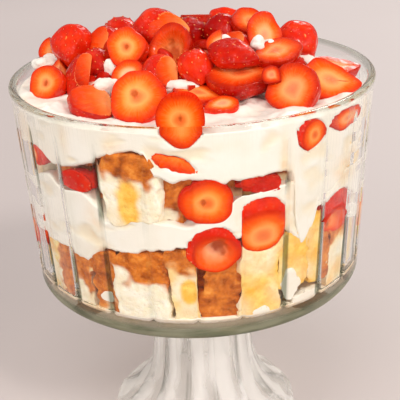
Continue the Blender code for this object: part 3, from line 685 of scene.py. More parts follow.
def make_bowl():
    """Turned from its profile ring by ring, then pressed with grooves and flutes."""
    rings = bowl_stations()
    count = GROOVES * STEPS_PER_GROOVE
    nothing_selected()
    height, radius, _ = rings[0]
    bpy.ops.mesh.primitive_circle_add(vertices=count, radius=radius * MM, fill_type="TRIFAN",
                                      location=(0.0, 0.0, height * MM))
    bowl = added("glass_bowl")
    bpy.ops.object.transform_apply(location=True)
    bpy.ops.object.mode_set(mode="EDIT")
    bpy.ops.mesh.select_all(action="SELECT")
    bpy.ops.mesh.region_to_loop()
    for upper, lower in zip(rings, rings[1:]):
        drop = (lower[0] - upper[0]) * MM
        bpy.ops.mesh.extrude_region_move(TRANSFORM_OT_translate={"value": (0.0, 0.0, drop)})
        grow = lower[1] / upper[1]
        bpy.ops.transform.resize(value=(grow, grow, 1.0), center_override=(0.0, 0.0, lower[0] * MM))
    bpy.ops.mesh.extrude_region_move()
    bpy.ops.mesh.merge(type="CENTER")
    bpy.ops.mesh.select_all(action="SELECT")
    bpy.ops.mesh.normals_make_consistent(inside=False)
    bpy.ops.object.mode_set(mode="OBJECT")

    points = read_points(bowl) / MM
    azimuth = azimuth_of(points)
    radius = np.hypot(points[:, 0], points[:, 1])
    period = 360.0 / GROOVES
    place = (azimuth - GROOVE_START) / period
    nearest = np.round(place)
    aside = place - nearest
    aside = aside * (CROWDING + (1.0 - CROWDING) * (2.0 * aside) ** 2)
    azimuth = GROOVE_START + (nearest + aside) * period
    dips = np.zeros(len(points))
    for height, ring_radius, dip in rings:
        dips[(abs(points[:, 2] - height) < 0.01) & (abs(radius - ring_radius) < 0.01)] = dip
    radius = radius - flute_dip(azimuth, dips)
    depth = HEIGHT - points[:, 2]
    outside = radius > side_radius(points[:, 2]) - 0.6
    along = np.clip((depth - GROOVE_TOP_DEPTH) / (GROOVE_BOTTOM_DEPTH - GROOVE_TOP_DEPTH), 0.0, 1.0)
    half = GROOVE_HALF_WIDTHS[0] + (GROOVE_HALF_WIDTHS[1] - GROOVE_HALF_WIDTHS[0]) * along
    ends = ease(GROOVE_TOP_DEPTH - 1.0, GROOVE_TOP_DEPTH + 5.0, depth)
    ends *= 1.0 - ease(GROOVE_BOTTOM_DEPTH - 2.5, GROOVE_BOTTOM_DEPTH + 0.5, depth)
    across = abs(aside) * math.radians(period) * radius
    wedge = np.clip(1.0 - across / half, 0.0, 1.0) * ends * outside
    radius = radius - GROOVE_CUT * wedge * (0.55 + 0.45 * along)
    points = to_bowl(azimuth, radius, points[:, 2])
    write_points(bowl, points * MM)
    # Painted shade: thin dark lines along the foot's flute ridges, carried in the groove attribute
    ridge = abs((azimuth - FLUTE_START + 180.0 / FLUTES) % (360.0 / FLUTES) - 180.0 / FLUTES)
    ridge_shade = 0.55 * (1.0 - ease(0.6, 2.2, ridge)) * ease(BASE_DEPTH + 1.0, BASE_DEPTH + 6.0, depth)
    ridge_shade *= ease(-0.6, 0.3, bumps(points, 17.0, 91))
    # The groove attribute is painted shade: grooves darkened where dry food lies behind them
    note(bowl, "groove", np.maximum(ease(0.05, 0.40, wedge) * GROOVE_SHADE * groove_shade_share(azimuth, depth), ridge_shade))
    # Rim tint: the thick rim's own green, painted stronger at the sides, where it is seen edge-on, as painted
    # shade
    clear_front = 1.0 - 0.72 * (1.0 - ease(28.0, 50.0, abs(azimuth)))
    note(bowl, "rim", 0.8 * (1.0 - ease(1.0, 4.5, depth)) * clear_front)
    smooth(bowl, 32.0)
    return bowl


# ---- strawberries ----
def girth(along):
    """Share of the full width at a place from the tip, 0, to the stem end, 1."""
    return np.sin(math.pi * np.clip(along, 0.0, 1.0) ** 1.3) ** 0.6


BARREL = 0.72                       # how square a barrel's outline is: 1 is an ellipse


def unevenness(turn, width, length):
    """Share of its full size that a round outline keeps at an angle round it."""
    return 1.0 - 0.03 * (1.0 + np.cos(3.0 * turn + width)) - 0.02 * (1.0 + np.cos(5.0 * turn + length))


def outline(shape, turn, width, length):
    """Points of a piece's outline at an angle round it."""
    if shape in ("round", "cup"):
        uneven = unevenness(turn, width, length)
        return 0.5 * width * uneven * np.cos(turn), 0.5 * length * uneven * np.sin(turn)
    if shape == "barrel":
        return (0.5 * width * np.sign(np.cos(turn)) * abs(np.cos(turn)) ** BARREL,
                0.5 * length * np.sign(np.sin(turn)) * abs(np.sin(turn)) ** BARREL)
    along = 0.5 + 0.5 * np.sin(turn)
    side = np.sign(np.cos(turn)) * (abs(np.cos(turn)) > 1e-6)
    return 0.5 * width * girth(along) * side, length * (along - 0.5)


class Fruit:
    """A strawberry piece in its own place: its cut face towards +Z and its tip towards -Y."""

    def __init__(self, name, shape, width, length, thickness, seed, segments=72, rings=52,
                 face=None, core=0.0, hole=(0.0, 0.0, 0.0), tone=0.3, pale=0.2, ragged=0.045):
        self.name = name
        self.shape = shape
        self.seed = seed
        self.tone = tone
        self.pale = pale
        piece, turn, down = ball(name, segments, rings)
        self.piece = piece
        self.turn, self.down = turn, down
        if shape == "whole":
            self.points, self.cut_places = self.whole(width, length, thickness)
        else:
            self.points, self.cut_places = self.cut(width, length, thickness, face, core)
        self.hole = self.hole_share(hole)
        if shape == "dome":
            self.points = self.points * np.array([-1.0, 1.0, -1.0])
        middle = (self.points.min(0) + self.points.max(0)) / 2.0
        self.points -= middle
        torn = ragged > 0.2
        wave = lumpy(self.points + seed * 7.0, 5.0 if torn else 9.0, seed, 4 if torn else 2)
        self.points *= 1.0 + ragged * wave[:, None]

    def whole(self, width, length, thickness):
        along = 1.0 - 0.5 * self.down
        along = along - 0.12 * np.sin(2.0 * math.pi * along) / math.pi
        half = 0.5 * girth(along)
        points = np.stack([half * width * np.cos(self.turn), length * (along - 0.5),
                           half * thickness * np.sin(self.turn)], axis=-1)
        rho = np.where(along > 0.95, 0.5 + 8.0 * (1.0 - along), 1.5)
        return points, np.stack([rho * np.cos(self.turn), rho * np.sin(self.turn)], axis=-1)

    def cut(self, width, length, thickness, face, core):
        x, y = outline(self.shape, self.turn, width, length)
        front = self.down <= 1.0
        share = np.where(front, np.sin(0.5 * math.pi * np.clip(self.down / 0.94, 0, 1)) ** 0.9, 0.0)
        edge = min(1.2, 0.2 * thickness)
        over = np.clip((self.down - 0.90) / 0.10, 0.0, 1.0)
        share = np.where(front, share * (1.0 - 0.05 * (1.0 - over)), 0.0)
        level = np.where(front, -edge * over ** 2, 0.0)
        scoop = share
        if face:
            across, up, wide, high = face
            scoop = np.hypot((x * share / (0.5 * width) - across) / wide,
                             (y * share / (0.5 * length) - up) / high)
        if core:
            level = level - core * (1.0 - ease(0.25, 0.80, scoop)) * front
        back = np.clip(self.down - 1.0, 0.0, 1.0)
        if self.shape in ("round", "heart") and thickness < 0.45 * width:
            side = np.clip(back / 0.5, 0.0, 1.0)
            back_share = np.where(back < 0.5, 1.0 - 0.17 * side ** 2.2, 0.83 * (1.0 - (back - 0.5) / 0.5))
            back_level = -edge - (thickness - edge) * np.sin(0.5 * math.pi * side) ** 0.9
        else:
            back_share = np.cos(0.5 * math.pi * back) ** 0.55
            back_level = -edge - (thickness - edge) * np.sin(0.5 * math.pi * back)
        share = np.where(front, share, back_share)
        level = np.where(front, level, back_level)
        points = np.stack([x * share, y * share, level], axis=-1)
        rho = np.where(front, share, 1.06 + back)
        if self.shape in ("round", "heart") and thickness < 0.45 * width:
            rho = np.where(back > 0.55, back_share / 0.83 * 0.95, rho)
        places = np.stack([rho * np.cos(self.turn), rho * np.sin(self.turn)], axis=-1)
        if face:
            own = np.stack([(points[:, 0] / (0.5 * width) - across) / wide,
                            (points[:, 1] / (0.5 * length) - up) / high], axis=-1)
            far = np.hypot(own[:, 0], own[:, 1])
            points[:, 2] -= 0.12 * thickness * ease(1.0, 1.9, far) * front
            wanted = np.where(front, np.maximum(far, 0.97 * share ** 3), np.maximum(far, 1.3))
            places = own * (wanted / np.maximum(far, 0.01))[:, None]
        if self.shape == "wedge":
            beyond = points[:, 0] > 0.0
            points[:, 0] = np.minimum(points[:, 0], 0.0)
            flat = np.stack([points[:, 2] / thickness, points[:, 1] / (0.5 * length)], axis=-1)
            places[beyond] = flat[beyond] * 0.93
        return points, places

    def hole_share(self, hole):
        """A small hollow in the core, painted dark as shade, at a place in the face and of a size, all as
        shares.
        """
        across, up, size = hole
        if not size:
            return np.zeros(len(self.points))
        away = np.hypot(self.cut_places[:, 0] - across, (self.cut_places[:, 1] - up) * 0.55)
        wobble = bumps(self.points, 1.8, self.seed + 40) * 0.35
        return ease(0.55, 1.15, 1.6 - away / size + wobble) * (self.down < 1.0)

    def is_skin(self):
        return np.hypot(self.cut_places[:, 0], self.cut_places[:, 1]) > 1.04

    def pit(self, points, spacing, depth):
        """Sinks a dimple for each seed; returns where the seeds lie."""
        write_points(self.piece, points)
        normals = normals_of(self.piece)
        skin = np.flatnonzero(self.is_skin())
        chosen = []
        order = list(skin)
        random.Random(self.seed).shuffle(order)
        away = np.full(len(points), 99.0)
        for index in order[:MOST_SEED_SPOTS]:
            if away[index] > spacing:
                chosen.append(index)
                away = np.minimum(away, np.sqrt(((points - points[index]) ** 2).sum(1)))
        skinny = self.is_skin().astype(float)
        hollow = np.exp(-(away / (0.34 * spacing)) ** 2) * skinny
        swell = 0.35 * (1.0 - hollow) * skinny * (chosen != [])
        points = points - normals * (depth * hollow)[:, None] + normals * (0.3 * depth * swell)[:, None]
        points = points - normals * (0.6 * self.hole)[:, None]
        note(self.piece, "dimple", hollow)
        note(self.piece, "hole", self.hole)
        note(self.piece, "tone", np.clip(self.tone + 0.12 * lumpy(points, 11.0, self.seed + 5, 2), 0, 1))
        note(self.piece, "pale", np.full(len(points), self.pale))
        return points, [(points[i], normals[i]) for i in chosen]

    def close_up(self, points):
        """Writes the final points and the places of the cut pattern."""
        write_points(self.piece, points * MM)
        corners = np.empty(len(self.piece.data.loops), dtype=np.int32)
        self.piece.data.loops.foreach_get("vertex_index", corners)
        while self.piece.data.uv_layers:
            self.piece.data.uv_layers.remove(self.piece.data.uv_layers[0])
        layer = self.piece.data.uv_layers.new(name="cut")
        layer.data.foreach_set("uv", self.cut_places[corners].astype(np.float32).ravel())
        smooth(self.piece, 55.0 if self.shape == "wedge" else 180.0)

    def trim(self, points, way, share):
        """Cuts a flat face across a piece lying in its place; the face looks the way given."""
        way = np.array(way) / np.linalg.norm(way)
        middle = points.mean(0)
        out = (points - middle) @ way
        level = share * out.max()
        beyond = out > level
        points[beyond] -= np.outer(out[beyond] - level, way)
        across = np.cross(way, (0.0, 0.0, 1.0)) if abs(way[2]) < 0.95 else np.array([1.0, 0.0, 0.0])
        across /= np.linalg.norm(across)
        face = (points - middle) @ np.stack([across, np.cross(way, across)]).T
        face -= face[beyond].mean(0)
        self.cut_places[beyond] = 0.30 * (face / abs(face[beyond]).max(0))[beyond] + np.array([0.62, 0.0])
        return points


def lie_of(facing, tilt, turn):
    return (Matrix.Rotation(math.radians(facing), 3, "Z") @ Matrix.Rotation(math.radians(tilt), 3, "X")
            @ Matrix.Rotation(math.radians(turn), 3, "Z"))


def middle_of(node):
    low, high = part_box(node)
    return np.array((low + high) / 2.0) / MM


SEED_SPOTS = []
HEAP_SEEDS = (3.8, 0.32)            # how far apart the seeds are, and how deep their dimples
PRESSED_SEEDS = (3.6, 0.30)
BACK_SEEDS = (3.5, 0.5)
CHOPPED_SEEDS = (4.0, 0.3)
MOST_SEED_SPOTS = 900               # tried on one piece
HEAP_SWELL = 1.14                   # the pieces swell to rest on each other
HEAP_RAGGED = 0.08
HEAP_TOP = CAD_BOX[1].z / MM - 0.8


def place_in_heap(name, row, seed):
    """A piece of the heap in its node's place."""
    shape, facing, tilt, turn, width, length, thickness, tone, pale, hole = row
    core = 0.45 * thickness if shape == "cup" else 0.0
    fruit = Fruit("shown_" + name, shape, width, length, thickness, seed, core=core, tone=tone, pale=pale,
                  hole=hole, ragged=HEAP_RAGGED)
    lie = np.array(lie_of(facing, tilt, turn))
    points = HEAP_SWELL * fruit.points @ lie.T
    if name in TRIMS:
        points = fruit.trim(points, *TRIMS[name])
    middle = (points.min(0) + points.max(0)) / 2.0
    points += middle_of(name) - middle
    points[:, 2] -= max(0.0, points[:, 2].max() - HEAP_TOP)
    points, seeds = fruit.pit(points, *HEAP_SEEDS)
    tip = lie @ np.array([0.0, -1.0, 0.0])
    SEED_SPOTS.extend((spot, normal, tip) for spot, normal in seeds)
    fruit.close_up(points)
    return fruit.piece


def place_on_glass(name, row, seed):
    """A piece laid along the inside of the wall, its face just into the glass."""
    azimuth, depth, width, height, thickness, turn, shape, tone, pale, hole, core, face, ragged = row
    fruit = Fruit("shown_" + name, shape, width, height, thickness, seed, core=core, tone=tone, pale=pale,
                  hole=hole, face=face, ragged=ragged)
    points = fruit.points
    points[:, 2] -= points[:, 2].max()
    spin = np.array(Matrix.Rotation(math.radians(turn), 3, "Z"))
    points = points @ spin.T
    up = HEIGHT - depth + points[:, 1]
    radius = inner_radius(up) + WET + points[:, 2]
    points = to_bowl(azimuth + np.degrees(points[:, 0] / inner_radius(up)), radius, up)
    points, seeds = fruit.pit(points, *PRESSED_SEEDS)
    points = press(points, WET)
    SEED_SPOTS.extend((spot, normal, np.array([0.0, 0.0, -1.0])) for spot, normal in seeds)
    fruit.close_up(points)
    return fruit.piece


# Heap pieces: shape, facing azimuth, tilt of the face, turn in the face, width, length, thickness,
# then tone (orange to deep red), paleness of the core, and the hollow in the core
HEAP = {
    "round_slice_front": ("round", -10, 50, 0, 28, 28, 9, 0.05, 0.2, (-0.1, 0.1, 0.13)),
    "skin_half_front_left": ("dome", -48, 38, 85, 20, 30, 11, 0.5, 0.2, (0, 0, 0)),
    "holed_slice_left": ("round", -30, 55, 0, 22, 21, 8, 0.15, 0.2, (0.0, 0.0, 0.13)),
    "flat_slice_left": ("heart", -80, 24, -75, 17, 29, 6, 0.55, 0.1, (0, 0, 0)),
    "wedge_left": ("wedge", -60, 40, 60, 15, 18, 8, 0.4, 0.3, (0, 0, 0)),
    "wedge_rim_left": ("wedge", -20, 70, 20, 17, 18, 9, 0.35, 0.3, (0, 0, 0)),
    "half_left": ("dome", -60, 62, 10, 18, 25, 9, 0.7, 0.2, (0, 0, 0)),
    "small_oval_slice": ("heart", 10, 18, -75, 13, 19, 4.5, 0.1, 0.5, (0, 0, 0)),
    "sunk_flat_slice": ("heart", 10, 20, 65, 15, 27, 5, 0.25, 0.2, (0, 0, 0)),
    "cut_half_right": ("half", -30, 50, 35, 27, 30, 12, 0.4, 0.3, (0, 0, 0)),
    "cut_face_right": ("heart", 28, 42, 72, 24, 35, 8, 0.08, 0.3, (0, -0.35, 0.12)),
    "pale_slice_right": ("heart", 20, 18, 82, 19, 34, 7, 0.35, 0.5, (0, 0, 0)),
    "red_whole_right": ("whole", 0, 0, 75, 18, 23, 18, 0.7, 0.2, (0, 0, 0)),
    "crescent_half": ("half", -5, 16, 88, 27, 36, 12, 0.75, 0.0, (0, 0, 0)),
    "slice_behind_front": ("round", -15, 50, 0, 18, 18, 7, 0.15, 0.7, (0, 0, 0)),
    "seeded_half": ("dome", 20, 50, 20, 19, 22, 10, 0.35, 0.3, (0, 0, 0)),
    "dark_whole_left": ("whole", 0, 10, 40, 18, 21, 18, 0.5, 0.2, (0, 0, 0)),
    "seeded_round": ("whole", 0, 30, 10, 18, 21, 17, 0.25, 0.2, (0, 0, 0)),
    "seeded_lip_half": ("dome", -10, 28, 72, 18, 27, 8, 0.6, 0.2, (0, 0, 0)),
    "tilted_half": ("half", -15, 22, -62, 20, 27, 9, 0.45, 0.2, (0, 0, 0)),
    "glossy_chunk_left": ("dome", -10, 60, 10, 16, 21, 10, 0.75, 0.2, (0, 0, 0)),
    "seeded_half_left": ("dome", -10, 55, 5, 20, 23, 10, 0.6, 0.2, (0, 0, 0)),
    "glossy_half_left": ("dome", -25, 48, 20, 24, 28, 12, 0.3, 0.2, (0, 0, 0)),
    "facing_slice": ("round", -14, 64, 0, 21, 21, 9, 0.02, 0.2, (0.0, 0.0, 0.1)),
    "small_behind_left": ("whole", 0, 0, 70, 17, 22, 17, 0.5, 0.2, (0, 0, 0)),
    "hollow_half": ("cup", -30, 58, 30, 26, 28, 13, 0.6, 0.2, (0.0, 0.0, 0.35)),
    "wedge_middle": ("wedge", -20, 45, 10, 16, 18, 8, 0.15, 0.7, (0, 0, 0)),
    "skin_half_middle": ("dome", 10, 40, 60, 18, 24, 9, 0.6, 0.2, (0, 0, 0)),
    "dark_behind_middle": ("whole", 0, 10, 80, 18, 23, 18, 0.95, 0.2, (0, 0, 0)),
    "top_half": ("dome", -5, 34, 84, 25, 32, 12, 0.4, 0.2, (0, 0, 0)),
    "dark_whole_top": ("whole", 0, 20, 20, 18, 21, 18, 0.95, 0.2, (0, 0, 0)),
    "pale_half_upright": ("round", 5, 72, 180, 18, 25, 9, 0.0, 0.5, (0, 0, 0)),
    "skin_half_right": ("dome", 15, 52, 20, 23, 26, 12, 0.2, 0.4, (0, 0, 0)),
    "light_half_top": ("half", 20, 42, 18, 18, 21, 9, 0.45, 0.1, (0, 0, 0)),
    "small_wedge_right": ("half", -20, 50, 60, 9, 11, 5, 0.8, 0.3, (0, 0, 0)),
    "back_half": ("dome", 170, 36, 60, 24, 29, 12, 0.4, 0.2, (0, 0, 0)),
    "back_slice": ("round", 165, 48, 0, 24, 24, 8, 0.1, 0.4, (0.0, 0.0, 0.12)),
    "back_whole": ("whole", 0, 0, 60, 16, 21, 13, 0.6, 0.2, (0, 0, 0)),
    "back_wedge": ("wedge", 120, 45, 30, 20, 24, 10, 0.3, 0.3, (0, 0, 0)),
    "back_cut_half": ("heart", 175, 12, 20, 17, 21, 5, 0.6, 0.2, (0, 0, 0)),
}

# Pieces with a second cut: the way the new face looks, and how far out it lies
TRIMS = {
    "skin_half_front_left": ((0.1, -0.35, 1.0), 0.30),
    "seeded_half_left": ((-0.5, -0.6, 0.5), 0.60),
    "half_left": ((0.7, -0.7, 0.5), 0.45),
    "glossy_chunk_left": ((-0.5, -0.7, 0.3), 0.55),
    "top_half": ((0.3, -0.9, 0.75), 0.60),
    "skin_half_middle": ((-0.4, -0.5, 0.9), 0.5),
    "back_half": ((0.3, 0.6, 0.9), 0.3),
    "seeded_half": ((0.6, -0.7, 0.5), 0.6),
}

# Pieces on the glass: azimuth, depth, width, height, thickness, turn, shape, then tone, paleness,
# hollow, how deep the core is scooped, the cut face as shares (None where it is all cut), raggedness
ON_GLASS = {
    "side_slice_upper": (2.6, 42.0, 30.5, 26.5, 9, 0, "round", 0.14, 0.12, (-0.12, 0.05, 0.10), 0, None,
                         0.045),
    "side_half_hollow": (4.3, 70.2, 30.5, 28.5, 14, 0, "round", 0.25, 0.65, (0.2, 0.3, 0.40), 8,
                         (0.06, -0.2, 0.84, 0.80), 0.045),
    "side_half_seeded": (19.8, 58.8, 25.5, 32.5, 14, 0, "barrel", 0.22, 0.2, (0, 0, 0), 0,
                         (0.0, -0.42, 1.45, 0.92), 0.03),
    "side_dark_sliver": (19.0, 35.6, 27, 9.5, 12, -6, "round", 0.6, 0.0, (0, 0, 0), 0,
                         (0.0, -3.0, 1.0, 1.0), 0.26),
    "side_left_small": (-56.5, 29.0, 13, 13, 8, 20, "round", 0.3, 0.6, (0, 0, 0), 0,
                        (-0.4, 0.2, 0.7, 0.9), 0.05),
    "side_left_seeded": (-39.0, 36.0, 24, 13, 12, 0, "round", 0.35, 0.0, (0, 0, 0), 0,
                         (0.0, -3.0, 1.0, 1.0), 0.06),
    "side_left_low": (-73.0, 86.0, 22, 34, 12, 0, "heart", 0.5, 0.6, (0, 0, 0), 0, None, 0.045),
    "side_right_berry": (51.5, 66.5, 34, 28, 15, 0, "round", 0.45, 0.1, (-0.15, -0.2, 0.32), 4,
                         (-0.2, -0.5, 0.7, 0.7), 0.05),
    "side_right_low": (74.0, 86.0, 22, 36, 12, 0, "heart", 0.4, 0.7, (0, 0, 0), 0, None, 0.045),
    "side_flesh_strip": (-6.0, 20.5, 24, 9, 6, -20, "round", 0.0, 0.0, (0, 0, 0), 0,
                         (0.0, 2.6, 3.6, 3.6), 0.30),
    "edge_slice": (-3.8, -2.0, 26, 30, 7, 0, "round", 0.10, 0.1, (0.0, 0.05, 0.1), 0, None, 0.03),
    "rim_heart": (35.6, 14.0, 20, 18, 9, -14, "heart", 0.2, 0.1, (0, 0, 0), 0,
                  (0.2, 0.0, 0.8, 1.05), 0.045),
    "rim_long_slice": (52.0, 12.5, 33, 12.5, 8, 0, "round", 0.3, 0.4, (0, 0, 0), 0, None, 0.08),
}


def make_fruit(material, pressed):
    for number, (name, row) in enumerate(HEAP.items()):
        slot = "berry_flesh" if row[0] in ("round", "heart", "half", "wedge") else "berry_skin"
        finished(place_in_heap(name, row, number + 11), material, slot, name)
    for number, (name, row) in enumerate(ON_GLASS.items()):
        finished(place_on_glass(name, row, number + 71), pressed, "berry_flesh", name)


MOST_CHOPPED = 110
CHOPPED_GAP = 7.0


def make_chopped(material):
    """Small chopped pieces lying on the cream between the large ones."""
    pick = random.Random(33)
    bits = []
    spots = []
    for _ in range(900):
        azimuth = pick.uniform(-112.0, 100.0)
        reach = pick.uniform(0.05, 0.90)
        radius = float(around(MOUND_REACH, azimuth)) * reach
        share = radius / inner_radius(HEIGHT)
        depth = float(surface_depth(np.array([azimuth]), np.array([share]))[0])
        spot = to_bowl(azimuth, radius, HEIGHT - depth + pick.uniform(-1.0, 3.5))
        if len(bits) == MOST_CHOPPED:
            break
        if any(np.linalg.norm(spot - other) < CHOPPED_GAP for other in spots):
            continue
        spots.append(spot)
        wide = pick.uniform(8.0, 14.0)
        shape = pick.choice(("wedge", "half", "dome", "round", "whole", "dome"))
        thick = wide if shape == "whole" else wide * pick.uniform(0.35, 0.55)
        bit = Fruit("bit", shape, wide, wide * pick.uniform(0.9, 1.3), thick, 1200 + len(bits), 26, 18,
                    tone=pick.uniform(0.3, 1.0), pale=pick.uniform(0.0, 0.3))
        lie = np.array(lie_of(pick.uniform(0, 360), pick.uniform(10, 75), pick.uniform(0, 360)))
        points, _ = bit.pit(bit.points @ lie.T + spot, *CHOPPED_SEEDS)
        bit.close_up(press(points, np.full(len(points), LOOSE)))
        bits.append(bit.piece)
    finished(join(bits, "chopped_strawberry"), material, "berry_flesh")


SEED_SIZE = (0.36, 0.62, 0.24)
SEED_SINK = 0.16


def make_seeds(material):
    """Every seed, each a small grain lying in its dimple and pointing along its berry."""
    nothing_selected()
    bpy.ops.mesh.primitive_uv_sphere_add(segments=6, ring_count=4, radius=1.0)
    grain = added("berry_seeds")
    shape = read_points(grain) * np.array(SEED_SIZE)
    shape[:, 0] *= 1.0 - 0.35 * shape[:, 1] / SEED_SIZE[1]
    faces = [tuple(face.vertices) for face in grain.data.polygons]
    points, corners = [], []
    for spot, normal, tip in SEED_SPOTS:
        along = tip - normal * tip.dot(normal)
        along = along / max(np.linalg.norm(along), 0.01)
        across = np.cross(along, normal)
        start = len(points) * len(shape)
        points.append(spot - normal * SEED_SINK + shape @ np.stack([across, along, normal]))
        corners += [tuple(start + corner for corner in face) for face in faces]
    grain.data.clear_geometry()
    grain.data.from_pydata((np.concatenate(points) * MM).tolist(), [], corners)
    grain.data.update()
    nothing_selected()
    grain.select_set(True)
    bpy.context.view_layer.objects.active = grain
    bpy.ops.object.mode_set(mode="EDIT")
    bpy.ops.mesh.select_all(action="SELECT")
    bpy.ops.mesh.normals_make_consistent(inside=False)
    bpy.ops.object.mode_set(mode="OBJECT")
    smooth(grain)
    finished(grain, material, "berry_skin")


POCKET_MARGIN = -0.4                # what the pocket's half width adds to the fruit's


def pocket(points):
    """How far the food draws back from the glass at each point, to leave room for the fruit."""
    azimuth = azimuth_of(points)
    depth = HEIGHT - points[:, 2]
    back = np.zeros(len(points))
    for row in ON_GLASS.values():
        where, depth_at, wide, tall, thick, turn, shape = row[:7]
        x = (azimuth - where) * math.radians(inner_radius(HEIGHT - depth_at))
        y = depth_at - depth
        spin = math.radians(turn)
        across = (x * math.cos(spin) + y * math.sin(spin)) / (0.5 * wide + POCKET_MARGIN)
        up = (y * math.cos(spin) - x * math.sin(spin)) / (0.5 * tall + POCKET_MARGIN)
        out = np.hypot(across, up)
        if shape == "barrel":
            out = (abs(across) ** (2.0 / BARREL) + abs(up) ** (2.0 / BARREL)) ** (0.5 * BARREL)
        if shape == "round":
            out /= unevenness(np.arctan2(up, across), wide, tall)
        back = np.maximum(back, 0.8 * thick * (1.0 - ease(0.86, 0.985, out)))
    return back


# ---- cream ----
TOP_CREAM_EDGE = (
    (-180, 24), (-125, 29), (-90, 31), (-77, 25), (-59, 23), (-46, 28), (-38.5, 27), (-32, 22), (-28, 18),
    (-25, 15), (-18.5, 12), (-14.5, 15), (-12, 27), (-7, 31), (0, 29), (11, 31), (24, 29.6), (29.5, 31),
    (31.4, 66), (33.8, 77), (37.7, 69), (40.3, 55), (49, 48), (55, 42.6), (58.6, 36), (75, 30), (100, 25),
    (140, 30),
)
TOP_CREAM_SURFACE = (
    (-180, 10), (-130, 7), (-80, 5.5), (-50, 4), (-20, 3.5), (40, 3.5), (64, 5), (85, 12), (120, 16),
    (150, 13),
)
MOUND_REACH = (
    (-180, 84), (-120, 86), (-85, 88), (-50, 70), (-25, 54), (10, 50), (40, 54), (70, 72), (100, 76),
    (140, 80),
)
MIDDLE_CREAM_TOP = (
    (-180, 50), (-125, 45), (-77, 49), (-65, 45), (-51, 37), (-45, 42.6), (-37, 41), (-31.4, 48),
    (-29.5, 57.6), (-22, 54), (-16, 53), (-10, 55), (-3, 57), (6, 50), (13, 40), (28, 38), (45, 41),
    (62, 43), (100, 50), (140, 44),
)
MIDDLE_CREAM_EDGE = (
    (-180, 79), (-125, 76), (-77, 79), (-60, 80), (-46, 80), (-39, 84), (-30.5, 71), (-22, 72), (-12, 69.6),
    (-3, 66), (5, 64), (11, 64), (20, 62), (27, 64), (34, 72), (41, 58), (50, 70), (66, 80), (100, 75),
    (140, 81),
)
DAB_ARC = 98.0                      # radius along which a dab's width is laid out
SMEAR_RADIUS = 101.5                # of the thin cream that covers the floor
SURFACE_MIDDLE = 8.0                # depth of the top cream's middle, without its mound
MOUND_RISE = 17.0
MIDDLE_SURFACE = 48.0               # depth of the middle cream's surface inside
DRAWN_BACK = 4.0                    # how far it keeps from the glass where the top cream covers it

# Stained places on the glass: azimuth, depth, half width in degrees, half height, strength
STAINS = (
    (27.5, 48.0, 2.4, 24.0, 1.0), (26.0, 24.0, 1.3, 12.0, 0.8), (54.0, 42.0, 6.0, 10.0, 0.85),
    (-33.0, 62.0, 3.2, 14.0, 0.5), (-63.0, 22.0, 4.0, 16.0, 0.6), (-24.0, 12.0, 3.0, 7.0, 0.5),
    (-41.0, 14.0, 2.0, 10.0, 0.3), (-31.0, 74.0, 3.0, 5.0, 0.7), (66.0, 20.0, 3.0, 20.0, 0.7),
    (-70.0, 18.0, 4.0, 14.0, 0.8), (12.0, 56.0, 2.0, 10.0, 0.3), (5.0, 12.0, 8.0, 3.0, 0.2),
)

# Dabs of cream between pieces of the heap: the pieces, how far up, and the size
CREAM_BETWEEN = (
    (("skin_half_front_left", "dark_whole_left", "round_slice_front"), 0.0, (15, 12, 13)),
    (("dark_whole_left", "slice_behind_front"), 1.0, (8, 8, 11)),
    (("seeded_half", "sunk_flat_slice"), -1.0, (24, 10, 7)),
    (("tilted_half", "seeded_lip_half", "pale_half_upright"), 1.0, (9, 8, 9)),
    (("seeded_lip_half", "dark_whole_top", "wedge_middle"), 2.0, (8, 7, 6)),
    (("tilted_half", "pale_half_upright"), 0.0, (9, 7, 7)),
    (("skin_half_right", "red_whole_right", "pale_slice_right"), 0.0, (12, 9, 8)),
    (("flat_slice_left", "wedge_rim_left"), 0.0, (18, 18, 9)),
    (("small_behind_left", "seeded_half_left"), 3.0, (16, 9, 8)),
    (("crescent_half", "red_whole_right"), 1.0, (7, 7, 9)),
)

# Dabs of cream low on the glass: azimuth, depth, width, height
DABS = (
    (30.0, 101.0, 12.0, 17.0), (19.0, 113.0, 9.0, 7.0), (-31.5, 105.0, 9.0, 6.0), (-9.0, 115.0, 40.0, 4.0),
    (-24.0, 115.5, 26.0, 3.4), (38.0, 112.0, 22.0, 8.0), (-100.0, 108.0, 22.0, 12.0),
    (110.0, 104.0, 20.0, 14.0), (150.0, 110.0, 26.0, 9.0), (-150.0, 106.0, 18.0, 13.0),
)


def surface_depth(azimuth, reach):
    """Depth of the top cream's surface at a share of the way out to the glass."""
    outer = around(TOP_CREAM_SURFACE, azimuth)
    share = reach ** 3
    wave = 1.4 * np.sin(3.0 * np.radians(azimuth) + 10.0) * reach * (1.0 - share)
    away = reach * inner_radius(HEIGHT) / around(MOUND_REACH, azimuth)
    mound = MOUND_RISE * np.maximum(0.0, 1.0 - away * away) ** 1.3
    return SURFACE_MIDDLE + (outer - SURFACE_MIDDLE) * share + wave - mound


